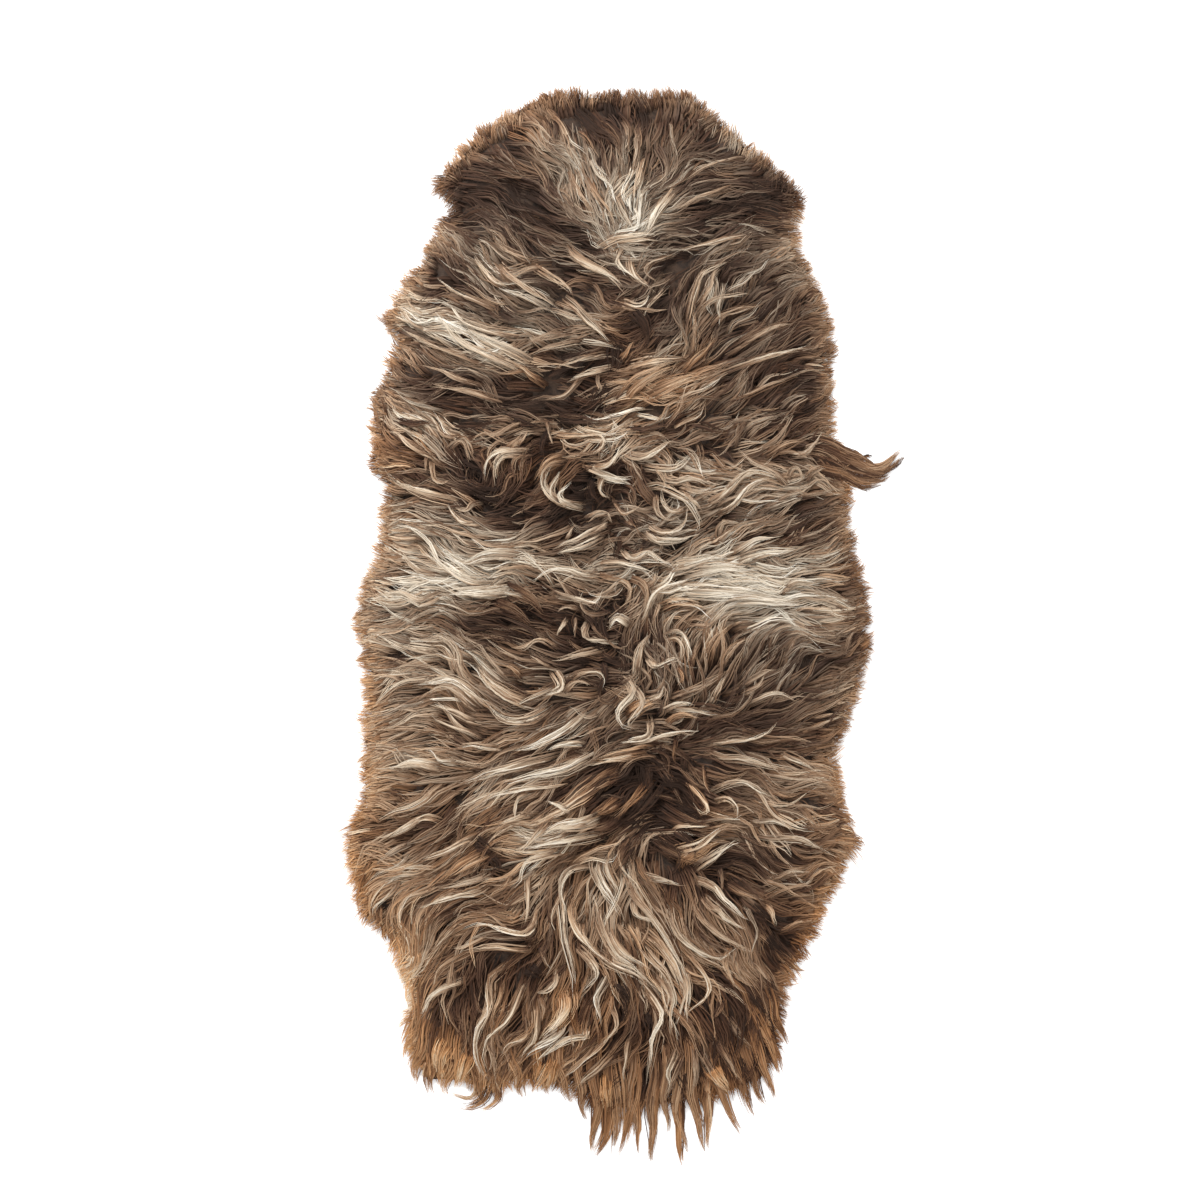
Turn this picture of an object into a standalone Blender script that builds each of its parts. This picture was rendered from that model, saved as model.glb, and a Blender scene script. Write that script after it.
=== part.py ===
"""An icelandic sheepskin lying wool side up on a flat surface.

Two pieces: the tanned hide, a flat sheet of skin cut to the animal's outline, and the fleece that
grows from it, a lumpy slab of shingled locks that overhangs the hide and ends in separate locks at
its rim. Metres, +Z up, +Y towards the neck, origin under the middle of the skin on the surface.
"""

import math
from typing import NamedTuple

import bmesh
import bpy
import numpy as np
from mathutils import Vector

HIDE_THICKNESS = 0.0025
PIECE_GAP = 0.0003
WELD_DISTANCE = 0.00001

NECK_END_Y = 0.645
TAIL_END_Y = -0.572
HIDE_INSET_SIDE = 0.026
HIDE_INSET_NECK = 0.026
HIDE_INSET_TAIL = 0.052
STATION_CLEARANCE = 0.010

RIM_INSET = 0.013
RIM_HEIGHT = 0.007
LOWEST_PILE = 0.005
PILE_CROWN = 0.033
PILE_RISE = 0.045
GRID_ACROSS = 39
GRID_ALONG = 76
GRID_EPSILON = 1e-4

SHINGLE_COUNT = 430
SHINGLE_LENGTH = 0.078
SHINGLE_WIDTH = 0.030
SHINGLE_HEIGHT = 0.011
SHINGLE_TIP_LENGTH = 0.010
SHINGLE_SMALLEST = 0.75
SHINGLE_SIZE_SPREAD = 0.5
SHINGLE_RISE_POWER = 0.8
SHINGLE_ROOT_WIDENING = 1.15
SHINGLE_TIP_NARROWING = 0.45
SHINGLE_SHARE_AT_RIM = 0.35

LIE_SOFTNESS = 0.010
LIE_FALLOFF = 1.5

RIM_LOCK_REACH = 0.0145
RIM_LOCK_REACH_SPREAD = 0.45
RIM_LOCK_LEAN = 0.5
RIM_LOCK_BOW = 0.0015
RIM_LOCK_STEPS = 2
NECK_LOCK_FACES = 3
LONG_LOCK_STEPS = 5
TUFT_LOWEST_Y = 0.160
LOCK_TAPER = 1.5
LOCK_TIP_SIZE = 0.14

GOLDEN_STEP = 0.6180339887
PLASTIC_STEP_X = 0.7548776662
PLASTIC_STEP_Y = 0.5698402910

HIDE_COLOUR = (0.62, 0.46, 0.31)
HIDE_ROUGHNESS = 0.85
FLEECE_COLOUR = (0.19, 0.125, 0.085)
FLEECE_ROUGHNESS = 0.9


class Section(NamedTuple):
    """Where the wool ends to the left and right at one station along the skin."""

    y: float
    left: float
    right: float


class Lie(NamedTuple):
    """The way the wool lies at one place, root to tip, in degrees turned from +X."""

    x: float
    y: float
    angle: float


class Relief(NamedTuple):
    """A soft hollow or swelling of the pile: an oval place, how it is turned, and its height."""

    x: float
    y: float
    half_length: float
    half_width: float
    angle: float
    height: float


class LongLock(NamedTuple):
    """A long lock: where it ends on the surface, its sideways bow, and the wall faces it springs from."""

    tip_x: float
    tip_y: float
    bow: float
    faces: int


SECTIONS = (
    Section(0.645, -0.088, 0.078),
    Section(0.635, -0.103, 0.096),
    Section(0.616, -0.139, 0.121),
    Section(0.592, -0.179, 0.145),
    Section(0.563, -0.202, 0.179),
    Section(0.537, -0.227, 0.209),
    Section(0.520, -0.220, 0.227),
    Section(0.494, -0.210, 0.222),
    Section(0.472, -0.228, 0.217),
    Section(0.436, -0.247, 0.232),
    Section(0.391, -0.275, 0.253),
    Section(0.362, -0.286, 0.259),
    Section(0.338, -0.271, 0.262),
    Section(0.271, -0.302, 0.262),
    Section(0.223, -0.301, 0.266),
    Section(0.187, -0.305, 0.280),
    Section(0.170, -0.287, 0.282),
    Section(0.151, -0.289, 0.282),
    Section(0.083, -0.298, 0.290),
    Section(0.016, -0.324, 0.307),
    Section(-0.041, -0.313, 0.305),
    Section(-0.118, -0.312, 0.281),
    Section(-0.161, -0.313, 0.265),
    Section(-0.209, -0.314, 0.277),
    Section(-0.262, -0.336, 0.292),
    Section(-0.301, -0.325, 0.274),
    Section(-0.349, -0.316, 0.248),
    Section(-0.377, -0.281, 0.236),
    Section(-0.437, -0.262, 0.208),
    Section(-0.521, -0.258, 0.194),
    Section(-0.572, -0.232, 0.176),
)

LIES = (
    Lie(-0.150, 0.605, -20),
    Lie(-0.190, 0.550, -15),
    Lie(-0.090, 0.560, -50),
    Lie(-0.030, 0.610, -75),
    Lie(0.030, 0.590, -115),
    Lie(0.110, 0.580, -150),
    Lie(0.190, 0.520, -168),
    Lie(0.070, 0.510, -150),
    Lie(-0.010, 0.500, -80),
    Lie(-0.130, 0.500, -38),
    Lie(-0.200, 0.430, 165),
    Lie(-0.110, 0.420, 150),
    Lie(-0.220, 0.340, 155),
    Lie(-0.080, 0.330, 190),
    Lie(-0.220, 0.270, 175),
    Lie(0.060, 0.430, 25),
    Lie(0.180, 0.430, 15),
    Lie(0.110, 0.340, 35),
    Lie(0.210, 0.330, 20),
    Lie(0.080, 0.270, 12),
    Lie(0.210, 0.260, 22),
    Lie(-0.220, 0.190, 160),
    Lie(-0.080, 0.190, 215),
    Lie(0.050, 0.190, -10),
    Lie(0.180, 0.170, 25),
    Lie(-0.200, 0.060, 178),
    Lie(-0.060, 0.080, 190),
    Lie(0.060, 0.060, 10),
    Lie(0.210, 0.050, 3),
    Lie(-0.240, -0.040, 172),
    Lie(-0.100, -0.060, 160),
    Lie(0.060, -0.060, 40),
    Lie(0.200, -0.060, 22),
    Lie(-0.230, -0.140, 190),
    Lie(-0.090, -0.140, 197),
    Lie(0.080, -0.140, 8),
    Lie(0.220, -0.150, -8),
    Lie(-0.250, -0.240, 203),
    Lie(-0.110, -0.220, 203),
    Lie(0.100, -0.230, -12),
    Lie(0.230, -0.250, -32),
    Lie(-0.230, -0.340, 215),
    Lie(-0.100, -0.310, 238),
    Lie(0.000, -0.310, 268),
    Lie(0.090, -0.340, 302),
    Lie(0.210, -0.360, 320),
    Lie(-0.200, -0.440, 240),
    Lie(-0.080, -0.440, 252),
    Lie(0.040, -0.440, 285),
    Lie(0.160, -0.450, 305),
    Lie(-0.190, -0.540, 258),
    Lie(-0.060, -0.540, 250),
    Lie(0.060, -0.540, 277),
    Lie(0.160, -0.540, 298),
)

RELIEFS = (
    Relief(0.006, 0.350, 0.075, 0.020, 92, -0.016),
    Relief(0.015, 0.520, 0.060, 0.045, 80, 0.005),
    Relief(-0.120, 0.235, 0.120, 0.015, 4, -0.011),
    Relief(0.075, 0.215, 0.110, 0.014, -6, -0.008),
    Relief(-0.120, 0.195, 0.110, 0.024, 5, 0.006),
    Relief(0.120, 0.180, 0.100, 0.030, 5, 0.005),
    Relief(0.022, 0.060, 0.045, 0.022, 80, -0.008),
    Relief(-0.140, 0.010, 0.080, 0.036, 5, 0.007),
    Relief(-0.010, -0.070, 0.055, 0.026, 60, -0.009),
    Relief(0.035, -0.205, 0.060, 0.040, 75, -0.018),
    Relief(-0.095, -0.255, 0.090, 0.034, 60, 0.007),
    Relief(0.090, -0.290, 0.050, 0.018, 20, -0.009),
    Relief(0.190, -0.388, 0.024, 0.020, 70, -0.013),
    Relief(0.040, -0.370, 0.120, 0.050, 115, 0.006),
)

FRINGE_LOCKS = (
    LongLock(-0.214, -0.579, 0.000, 3),
    LongLock(-0.184, -0.581, -0.003, 3),
    LongLock(-0.153, -0.586, 0.002, 3),
    LongLock(-0.121, -0.573, -0.002, 3),
    LongLock(-0.091, -0.575, 0.002, 3),
    LongLock(-0.063, -0.587, -0.003, 3),
    LongLock(-0.032, -0.640, 0.006, 3),
    LongLock(-0.004, -0.638, -0.004, 3),
    LongLock(0.037, -0.651, 0.004, 3),
    LongLock(0.080, -0.650, -0.005, 3),
    LongLock(0.107, -0.636, 0.004, 3),
    LongLock(0.148, -0.614, 0.005, 3),
    LongLock(0.169, -0.592, -0.003, 3),
)

TUFT_LOCKS = (
    LongLock(0.319, 0.169, -0.004, 1),
    LongLock(0.342, 0.208, -0.015, 2),
)


def clear_scene() -> None:
    """Remove every object of the starting scene."""
    for item in list(bpy.data.objects):
        bpy.data.objects.remove(item, do_unlink=True)


def add_collection(name: str) -> bpy.types.Collection:
    """Add a collection to the scene."""
    collection = bpy.data.collections.new(name)
    bpy.context.scene.collection.children.link(collection)
    return collection


def add_material(name: str, colour: tuple, roughness: float) -> bpy.types.Material:
    """Make a plain non-metal surface of one colour."""
    material = bpy.data.materials.new(name)
    material.use_nodes = True
    shader = material.node_tree.nodes["Principled BSDF"]
    shader.inputs["Base Color"].default_value = (*colour, 1.0)
    shader.inputs["Roughness"].default_value = roughness
    shader.inputs["Metallic"].default_value = 0.0
    material.diffuse_color = (*colour, 1.0)
    return material


def edges_at(y: np.ndarray) -> tuple:
    """Left and right ends of the wool at stations y."""
    stations = [section.y for section in reversed(SECTIONS)]
    lefts = [section.left for section in reversed(SECTIONS)]
    rights = [section.right for section in reversed(SECTIONS)]
    return np.interp(y, stations, lefts), np.interp(y, stations, rights)


def lie_at(x: np.ndarray, y: np.ndarray) -> tuple:
    """Unit direction of the wool at places x, y, blended from the charted lies around them."""
    sum_x = np.zeros_like(x)
    sum_y = np.zeros_like(x)
    for lie in LIES:
        weight = ((x - lie.x) ** 2 + (y - lie.y) ** 2 + LIE_SOFTNESS ** 2) ** -LIE_FALLOFF
        sum_x += weight * math.cos(math.radians(lie.angle))
        sum_y += weight * math.sin(math.radians(lie.angle))
    length = np.hypot(sum_x, sum_y)
    return sum_x / length, sum_y / length


def shingle_height(x: np.ndarray, y: np.ndarray) -> np.ndarray:
    """Height that the overlapping locks add at places x, y: each rises to its tip and drops off."""
    raised = np.zeros_like(x)
    span_y = NECK_END_Y - TAIL_END_Y
    for index in range(1, SHINGLE_COUNT + 1):
        root_y = TAIL_END_Y + span_y * ((index * PLASTIC_STEP_Y) % 1.0)
        left, right = edges_at(root_y)
        root_x = left + (right - left) * ((index * PLASTIC_STEP_X) % 1.0)
        size = SHINGLE_SMALLEST + SHINGLE_SIZE_SPREAD * ((index * GOLDEN_STEP) % 1.0)
        way_x, way_y = lie_at(np.array([root_x]), np.array([root_y]))
        along = (x - root_x) * way_x + (y - root_y) * way_y
        across = (y - root_y) * way_x - (x - root_x) * way_y
        length = SHINGLE_LENGTH * size
        rise = np.clip(along / length, 0.0, 1.0) ** SHINGLE_RISE_POWER
        drop = np.clip((length + SHINGLE_TIP_LENGTH - along) / SHINGLE_TIP_LENGTH, 0.0, 1.0)
        half_width = 0.5 * SHINGLE_WIDTH * size * (SHINGLE_ROOT_WIDENING - SHINGLE_TIP_NARROWING * rise)
        crown = np.clip(1.0 - (across / half_width) ** 2, 0.0, 1.0)
        raised = np.maximum(raised, SHINGLE_HEIGHT * size * rise * drop * crown)
    return raised


def relief_height(x: np.ndarray, y: np.ndarray) -> np.ndarray:
    """Height that the named hollows and swellings add at places x, y."""
    total = np.zeros_like(x)
    for relief in RELIEFS:
        cosine = math.cos(math.radians(relief.angle))
        sine = math.sin(math.radians(relief.angle))
        along = (x - relief.x) * cosine + (y - relief.y) * sine
        across = (y - relief.y) * cosine - (x - relief.x) * sine
        total += relief.height * np.exp(
            -((along / relief.half_length) ** 2) - (across / relief.half_width) ** 2
        )
    return total


def pile_height(x: np.ndarray, y: np.ndarray) -> np.ndarray:
    """Top of the wool over the surface at places x, y inside the slab's outline."""
    left, right = edges_at(y)
    to_side = np.minimum(x - left, right - x) - RIM_INSET
    to_end = np.minimum(NECK_END_Y - y, y - TAIL_END_Y) - RIM_INSET
    inward = np.clip(np.minimum(to_side, to_end), 0.0, None)
    fullness = 1.0 - np.exp(-inward / PILE_RISE)
    body = RIM_HEIGHT + (PILE_CROWN - RIM_HEIGHT) * fullness
    shingle_share = SHINGLE_SHARE_AT_RIM + (1.0 - SHINGLE_SHARE_AT_RIM) * fullness
    detail = relief_height(x, y) * fullness + shingle_height(x, y) * shingle_share
    return np.maximum(body + detail, LOWEST_PILE)


def sorted_walls(walls: list, shares: dict) -> dict:
    """Wall faces by the side of the grid that they hang from."""
    sides = {"tail": [], "neck": [], "left": [], "right": []}
    for face in walls:
        tops = [shares[vert] for vert in face.verts if vert in shares]
        share_x = [share[0] for share in tops]
        share_y = [share[1] for share in tops]
        if max(share_y) < GRID_EPSILON:
            sides["tail"].append(face)
        elif min(share_y) > 1.0 - GRID_EPSILON:
            sides["neck"].append(face)
        elif max(share_x) < GRID_EPSILON:
            sides["left"].append(face)
        else:
            sides["right"].append(face)
    return sides


def fleece_mesh() -> bpy.types.Mesh:
    """The fleece: a grid fitted to the outline, raised to the pile, walled, closed and locked."""
    top_y = NECK_END_Y - RIM_INSET
    bottom_y = TAIL_END_Y + RIM_INSET
    bm = bmesh.new()
    bmesh.ops.create_grid(bm, x_segments=GRID_ACROSS, y_segments=GRID_ALONG, size=0.5)
    shares = {vert: (vert.co.x + 0.5, vert.co.y + 0.5) for vert in bm.verts}
    share_x, share_y = np.array(list(shares.values())).T
    y = bottom_y + (top_y - bottom_y) * share_y
    left, right = edges_at(y)
    x = left + RIM_INSET + (right - left - 2.0 * RIM_INSET) * share_x
    z = pile_height(x, y)
    for vert, place in zip(shares, zip(x, y, z)):
        vert.co = place
    boundary = [edge for edge in bm.edges if edge.is_boundary]
    drawn = bmesh.ops.extrude_edge_only(bm, edges=boundary)
    for item in drawn["geom"]:
        if isinstance(item, bmesh.types.BMVert):
            item.co.z = 0.0
    walls = [item for item in drawn["geom"] if isinstance(item, bmesh.types.BMFace)]
    rim = [edge for edge in bm.edges if edge.is_boundary]
    bmesh.ops.contextual_create(bm, geom=rim)
    bmesh.ops.recalc_face_normals(bm, faces=bm.faces[:])
    grow_rim(bm, sorted_walls(walls, shares))
    bmesh.ops.recalc_face_normals(bm, faces=bm.faces[:])
    mesh = bpy.data.meshes.new("fleece")
    bm.to_mesh(mesh)
    bm.free()
    return mesh


def outline_points(side_inset: float, neck_inset: float, tail_inset: float) -> list:
    """A closed outline inside the wool's ends: up the right side, and down the left."""
    low = TAIL_END_Y + tail_inset
    high = NECK_END_Y - neck_inset
    between = (low + STATION_CLEARANCE, high - STATION_CLEARANCE)
    inner = [section.y for section in reversed(SECTIONS) if between[0] < section.y < between[1]]
    stations = [low] + inner + [high]
    left, right = edges_at(np.array(stations))
    up = [(edge - side_inset, y) for edge, y in zip(right, stations)]
    down = [(edge + side_inset, y) for edge, y in zip(left, stations)]
    return up + down[::-1]


def add_flat_outline(name: str, points: list, bottom: float, top: float) -> bpy.types.Object:
    """A flat sheet of the given outline between two heights, as a filled and extruded curve."""
    curve = bpy.data.curves.new(name, "CURVE")
    curve.dimensions = "2D"
    curve.fill_mode = "BOTH"
    curve.extrude = 0.5 * (top - bottom)
    spline = curve.splines.new("POLY")
    spline.points.add(len(points) - 1)
    for point, (x, y) in zip(spline.points, points):
        point.co = (x, y, 0.0, 1.0)
    spline.use_cyclic_u = True
    sheet = bpy.data.objects.new(name, curve)
    sheet.location.z = 0.5 * (top + bottom)
    return sheet


def made_mesh(source: bpy.types.Object, collection: bpy.types.Collection) -> bpy.types.Object:
    """Turn a curve object into a closed mesh object in the collection, and remove the curve."""
    name = source.name
    bpy.context.scene.collection.objects.link(source)
    graph = bpy.context.evaluated_depsgraph_get()
    mesh = bpy.data.meshes.new_from_object(source.evaluated_get(graph))
    bm = bmesh.new()
    bm.from_mesh(mesh)
    bmesh.ops.remove_doubles(bm, verts=bm.verts[:], dist=WELD_DISTANCE)
    bmesh.ops.recalc_face_normals(bm, faces=bm.faces[:])
    bm.to_mesh(mesh)
    bm.free()
    result = bpy.data.objects.new(name + "_mesh", mesh)
    result.matrix_world = source.matrix_world.copy()
    collection.objects.link(result)
    bpy.data.objects.remove(source, do_unlink=True)
    return result


def bowed_path(root: Vector, tip: Vector, bow: float, steps: int) -> list:
    """Points of a lock on the surface after its root, its middle bowed sideways."""
    run = tip - root
    side = Vector((-run.y, run.x)).normalized()
    shares = [(step + 1) / steps for step in range(steps)]
    return [root + run * share + side * bow * math.sin(math.pi * share) for share in shares]


def grow_lock(bm: bmesh.types.BMesh, faces: list, path: list) -> None:
    """Draw wall faces out along a path on the surface into one lock that tapers to its tip."""
    verts = list({vert for face in faces for vert in face.verts})
    centre = sum((Vector(vert.co[:2]) for vert in verts), Vector((0.0, 0.0))) / len(verts)
    offsets = [Vector(vert.co[:2]) - centre for vert in verts]
    along = max(offsets, key=lambda offset: offset.length).normalized()
    local = {vert: (offset.dot(along), vert.co.z) for vert, offset in zip(verts, offsets)}
    before = centre
    for index, place in enumerate(path):
        way = (path[min(index + 1, len(path) - 1)] - before).normalized()
        side = Vector((-way.y, way.x))
        if side.dot(along) < 0.0:
            side = -side
        size = 1.0 - (1.0 - LOCK_TIP_SIZE) * ((index + 1) / len(path)) ** LOCK_TAPER
        drawn = bmesh.ops.extrude_face_region(bm, geom=faces)
        carried = {}
        for vert in [item for item in drawn["geom"] if isinstance(item, bmesh.types.BMVert)]:
            below = min(local, key=lambda other: (other.co - vert.co).length_squared)
            carried[vert] = local[below]
        bmesh.ops.delete(bm, geom=faces, context="FACES")
        faces = [item for item in drawn["geom"] if isinstance(item, bmesh.types.BMFace)]
        for vert, (offset, height) in carried.items():
            spot = place + side * offset * size
            vert.co = (spot.x, spot.y, height * size)
        local = carried
        before = place


def grow_long_locks(bm: bmesh.types.BMesh, faces: list, locks: tuple) -> list:
    """Draw ordered wall faces out into the charted long locks, and return the faces left over."""
    for lock in locks:
        taken = faces[:lock.faces]
        faces = faces[lock.faces:]
        path = bowed_path(face_centre(taken), Vector((lock.tip_x, lock.tip_y)), lock.bow, LONG_LOCK_STEPS)
        grow_lock(bm, taken, path)
    return faces


def wall_normal(face: bmesh.types.BMFace) -> Vector:
    """Outward level direction of a wall face."""
    face.normal_update()
    return Vector(face.normal[:2]).normalized()


def rim_path(centre: Vector, outward: Vector, index: int) -> list:
    """Path of a short rim lock: outward, leaning the way the wool beside it lies."""
    along = Vector((-outward.y, outward.x))
    way_x, way_y = lie_at(np.array([centre.x]), np.array([centre.y]))
    lean = float(way_x[0]) * along.x + float(way_y[0]) * along.y
    lean = max(-RIM_LOCK_LEAN, min(RIM_LOCK_LEAN, lean))
    uneven = 2.0 * ((index * GOLDEN_STEP) % 1.0) - 1.0
    reach = RIM_LOCK_REACH * (1.0 + RIM_LOCK_REACH_SPREAD * uneven)
    tip = centre + (outward + along * lean) * reach
    return bowed_path(centre, tip, RIM_LOCK_BOW * uneven, RIM_LOCK_STEPS)


def face_centre(faces: list) -> Vector:
    """Middle of a run of wall faces, seen from above."""
    middles = [Vector(face.calc_center_median()[:2]) for face in faces]
    return sum(middles, Vector((0.0, 0.0))) / len(middles)


def in_order(faces: list, axis: int) -> list:
    """Wall faces sorted along an axis."""
    return sorted(faces, key=lambda face: face.calc_center_median()[axis])


def grow_rim(bm: bmesh.types.BMesh, walls: dict) -> None:
    """All the locks of the rim: fringe at the tail, the stray tuft, and short locks elsewhere."""
    grow_long_locks(bm, in_order(walls["tail"], 0), FRINGE_LOCKS)
    right = in_order(walls["right"], 1)
    below = [face for face in right if face.calc_center_median().y < TUFT_LOWEST_Y]
    above = grow_long_locks(bm, right[len(below):], TUFT_LOCKS)
    short = [[face] for face in below + above + in_order(walls["left"], 1)]
    neck = in_order(walls["neck"], 0)
    short += [neck[start:start + NECK_LOCK_FACES] for start in range(0, len(neck), NECK_LOCK_FACES)]
    for index, faces in enumerate(short):
        path = rim_path(face_centre(faces), wall_normal(faces[len(faces) // 2]), index)
        grow_lock(bm, faces, path)


def cut_with(target: bpy.types.Object, cutter: bpy.types.Object) -> None:
    """Take the cutter's shape out of the target, and keep the cutter out of the finished object."""
    modifier = target.modifiers.new("cut_" + cutter.name, "BOOLEAN")
    modifier.operation = "DIFFERENCE"
    modifier.solver = "EXACT"
    modifier.object = cutter
    cutter.hide_render = True
    cutter.display_type = "WIRE"


def build_hide(parts: bpy.types.Collection) -> bpy.types.Object:
    """The tanned skin: a flat sheet that lies on the surface, inside the wool's outline."""
    outline = outline_points(HIDE_INSET_SIDE, HIDE_INSET_NECK, HIDE_INSET_TAIL)
    hide = add_flat_outline("hide", outline, 0.0, HIDE_THICKNESS)
    hide.data.materials.append(add_material("tanned_skin", HIDE_COLOUR, HIDE_ROUGHNESS))
    parts.objects.link(hide)
    return hide


def build_fleece(parts: bpy.types.Collection, cutters: bpy.types.Collection) -> bpy.types.Object:
    """The wool: slab, rim locks, hind fringe and the stray tuft, with room below for the hide."""
    fleece = bpy.data.objects.new("fleece", fleece_mesh())
    fleece.data.materials.append(add_material("wool", FLEECE_COLOUR, FLEECE_ROUGHNESS))
    parts.objects.link(fleece)
    outline = outline_points(
        HIDE_INSET_SIDE - PIECE_GAP, HIDE_INSET_NECK - PIECE_GAP, HIDE_INSET_TAIL - PIECE_GAP
    )
    room = add_flat_outline("hide_room", outline, -HIDE_THICKNESS, HIDE_THICKNESS + PIECE_GAP)
    cut_with(fleece, made_mesh(room, cutters))
    return fleece


def main() -> None:
    """Build the sheepskin."""
    clear_scene()
    parts = add_collection("icelandic_sheepskin")
    cutters = add_collection("cutters")
    build_hide(parts)
    build_fleece(parts, cutters)


main()
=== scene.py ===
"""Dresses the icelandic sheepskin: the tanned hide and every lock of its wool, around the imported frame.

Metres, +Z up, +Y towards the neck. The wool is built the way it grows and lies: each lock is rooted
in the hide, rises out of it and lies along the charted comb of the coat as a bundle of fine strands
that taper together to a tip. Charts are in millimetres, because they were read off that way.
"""

import logging
import math
from dataclasses import dataclass, field, replace
from enum import Enum
from typing import NamedTuple

import bpy
import numpy as np
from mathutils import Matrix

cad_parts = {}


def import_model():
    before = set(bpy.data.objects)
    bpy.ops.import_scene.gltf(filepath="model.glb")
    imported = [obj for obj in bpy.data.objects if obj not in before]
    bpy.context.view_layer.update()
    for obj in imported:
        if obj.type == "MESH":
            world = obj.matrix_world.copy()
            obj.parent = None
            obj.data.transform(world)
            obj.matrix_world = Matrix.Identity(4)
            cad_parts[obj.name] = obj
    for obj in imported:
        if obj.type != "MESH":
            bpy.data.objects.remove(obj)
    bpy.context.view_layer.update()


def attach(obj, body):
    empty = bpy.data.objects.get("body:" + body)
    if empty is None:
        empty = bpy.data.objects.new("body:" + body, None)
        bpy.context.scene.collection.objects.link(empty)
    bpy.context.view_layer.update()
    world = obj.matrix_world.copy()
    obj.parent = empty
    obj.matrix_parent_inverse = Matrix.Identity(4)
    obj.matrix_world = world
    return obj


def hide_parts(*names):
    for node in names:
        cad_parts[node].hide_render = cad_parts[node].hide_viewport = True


LOG = logging.getLogger("sheepskin")
SEED = 4127
MM = 0.001

PLASTIC_STEP_X = 0.7548776662
PLASTIC_STEP_Y = 0.5698402910

NECK_END_Y = 0.648
TAIL_END_Y = -0.572
HIDE_TOP = 0.0025
HIDE_INSET_SIDE = 0.026
HIDE_INSET_TAIL = 0.052
FLOOR_GAP = 0.0002

FIBRE_MAP = "fibre"
TINY = 1e-9
NOISE_REACH = 1.2


class Station(NamedTuple):
    """Where the wool ends to the left and right at one station along the skin, in millimetres."""

    y: float
    left: float
    right: float


class Lie(NamedTuple):
    """The way the wool lies at one place, root to tip, in millimetres and degrees turned from +X."""

    x: float
    y: float
    angle: float


class Stroke(NamedTuple):
    """A placed lock: radius, paleness, warmth and route as x, y, x, y, root to tip; millimetres."""

    radius: float
    tone: float
    warmth: float
    route: tuple


class TailEnd(NamedTuple):
    """How far towards the tail the wool reaches at one place across the skin, in millimetres."""

    x: float
    y: float


class Patch(NamedTuple):
    """A soft oval patch where something is stronger or weaker, in millimetres and degrees."""

    x: float
    y: float
    half_length: float
    half_width: float
    angle: float
    strength: float


def charted(kind: type, *rows: tuple) -> tuple:
    """Turn the rows of a chart into values of one kind, in that kind's order of fields."""
    return tuple(kind(*row) for row in rows)


STATIONS = charted(
    Station,
    (645, -88, 78), (635, -103, 96), (616, -139, 121), (592, -179, 145), (563, -202, 179), (537, -227, 209),
    (520, -220, 227), (494, -210, 222), (472, -228, 217), (436, -247, 232), (391, -275, 253),
    (362, -286, 259), (338, -271, 262), (271, -302, 262), (223, -301, 266), (187, -305, 280),
    (170, -287, 282), (151, -289, 282), (83, -298, 290), (16, -324, 307), (-41, -313, 305),
    (-118, -312, 281), (-161, -313, 265), (-209, -314, 277), (-262, -336, 292), (-301, -325, 274),
    (-349, -316, 248), (-377, -281, 236), (-437, -262, 208), (-521, -258, 194), (-572, -232, 176),
)

TAIL_ENDS = charted(
    TailEnd,
    (-262, -530), (-235, -552), (-195, -556), (-160, -572), (-120, -562), (-75, -562), (-50, -576),
    (-30, -596), (0, -592), (37, -590), (83, -588), (106, -584), (149, -568), (185, -540), (200, -510),
    (215, -470),
)

NECK_LIES = charted(
    Lie,
    (-60, 620, -75), (-125, 605, -15), (-150, 580, -25), (-100, 590, -50), (-60, 580, -60), (-50, 545, -65),
    (-20, 560, -80), (-30, 600, -68), (-85, 540, -45), (-150, 520, -35), (-190, 540, -12), (-180, 500, -28),
    (-120, 470, -45), (-50, 475, -28), (0, 620, -88), (0, 560, -88), (30, 590, -112), (40, 625, -95),
    (80, 600, -140), (130, 575, -158), (180, 530, -168), (205, 510, 180), (120, 520, -160), (60, 505, -140),
    (15, 510, -88), (-10, 495, -75), (30, 470, -150), (150, 480, -168), (190, 465, 188),
)

SHOULDER_LIES = charted(
    Lie,
    (-150, 440, -62), (-180, 440, -58), (-100, 430, -38), (-45, 435, -18), (-100, 400, -38),
    (-60, 380, -25), (-210, 400, -16), (-240, 370, -12), (-190, 350, -28), (-140, 330, -24), (-110, 335, 4),
    (-50, 345, 2), (-230, 320, -38), (-150, 300, -36), (-60, 305, 12), (-260, 300, -22), (-200, 280, -12),
    (-100, 270, -5), (-250, 262, -18), (60, 440, 205), (150, 450, 190), (200, 425, 186), (95, 400, 255),
    (82, 370, 262), (140, 390, 222), (200, 385, 215), (110, 340, 225), (170, 340, 212), (230, 350, 198),
    (60, 350, 190), (50, 300, 192), (120, 295, 205), (200, 300, 205), (240, 300, 198), (40, 265, 188),
    (130, 265, 202), (200, 255, 206), (20, 440, 200), (20, 390, 215),
)

BREAK_LIES = charted(
    Lie,
    (-265, 240, 165), (-235, 235, 150), (-200, 228, 140), (-150, 235, 212), (-190, 200, 140),
    (-150, 185, 255), (-88, 172, 240), (-110, 150, 190), (-270, 195, 160), (-230, 155, 162),
    (-170, 150, 175), (-60, 225, 5), (-20, 190, -20), (20, 215, -5), (60, 215, -10), (60, 190, -18),
    (130, 225, 30), (210, 220, 12), (120, 190, -15), (170, 180, 15), (245, 190, -40), (150, 152, 36),
    (230, 150, 28), (180, 122, 18), (130, 108, 48), (250, 112, 20), (-40, 150, 200), (20, 150, -60),
)

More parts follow.
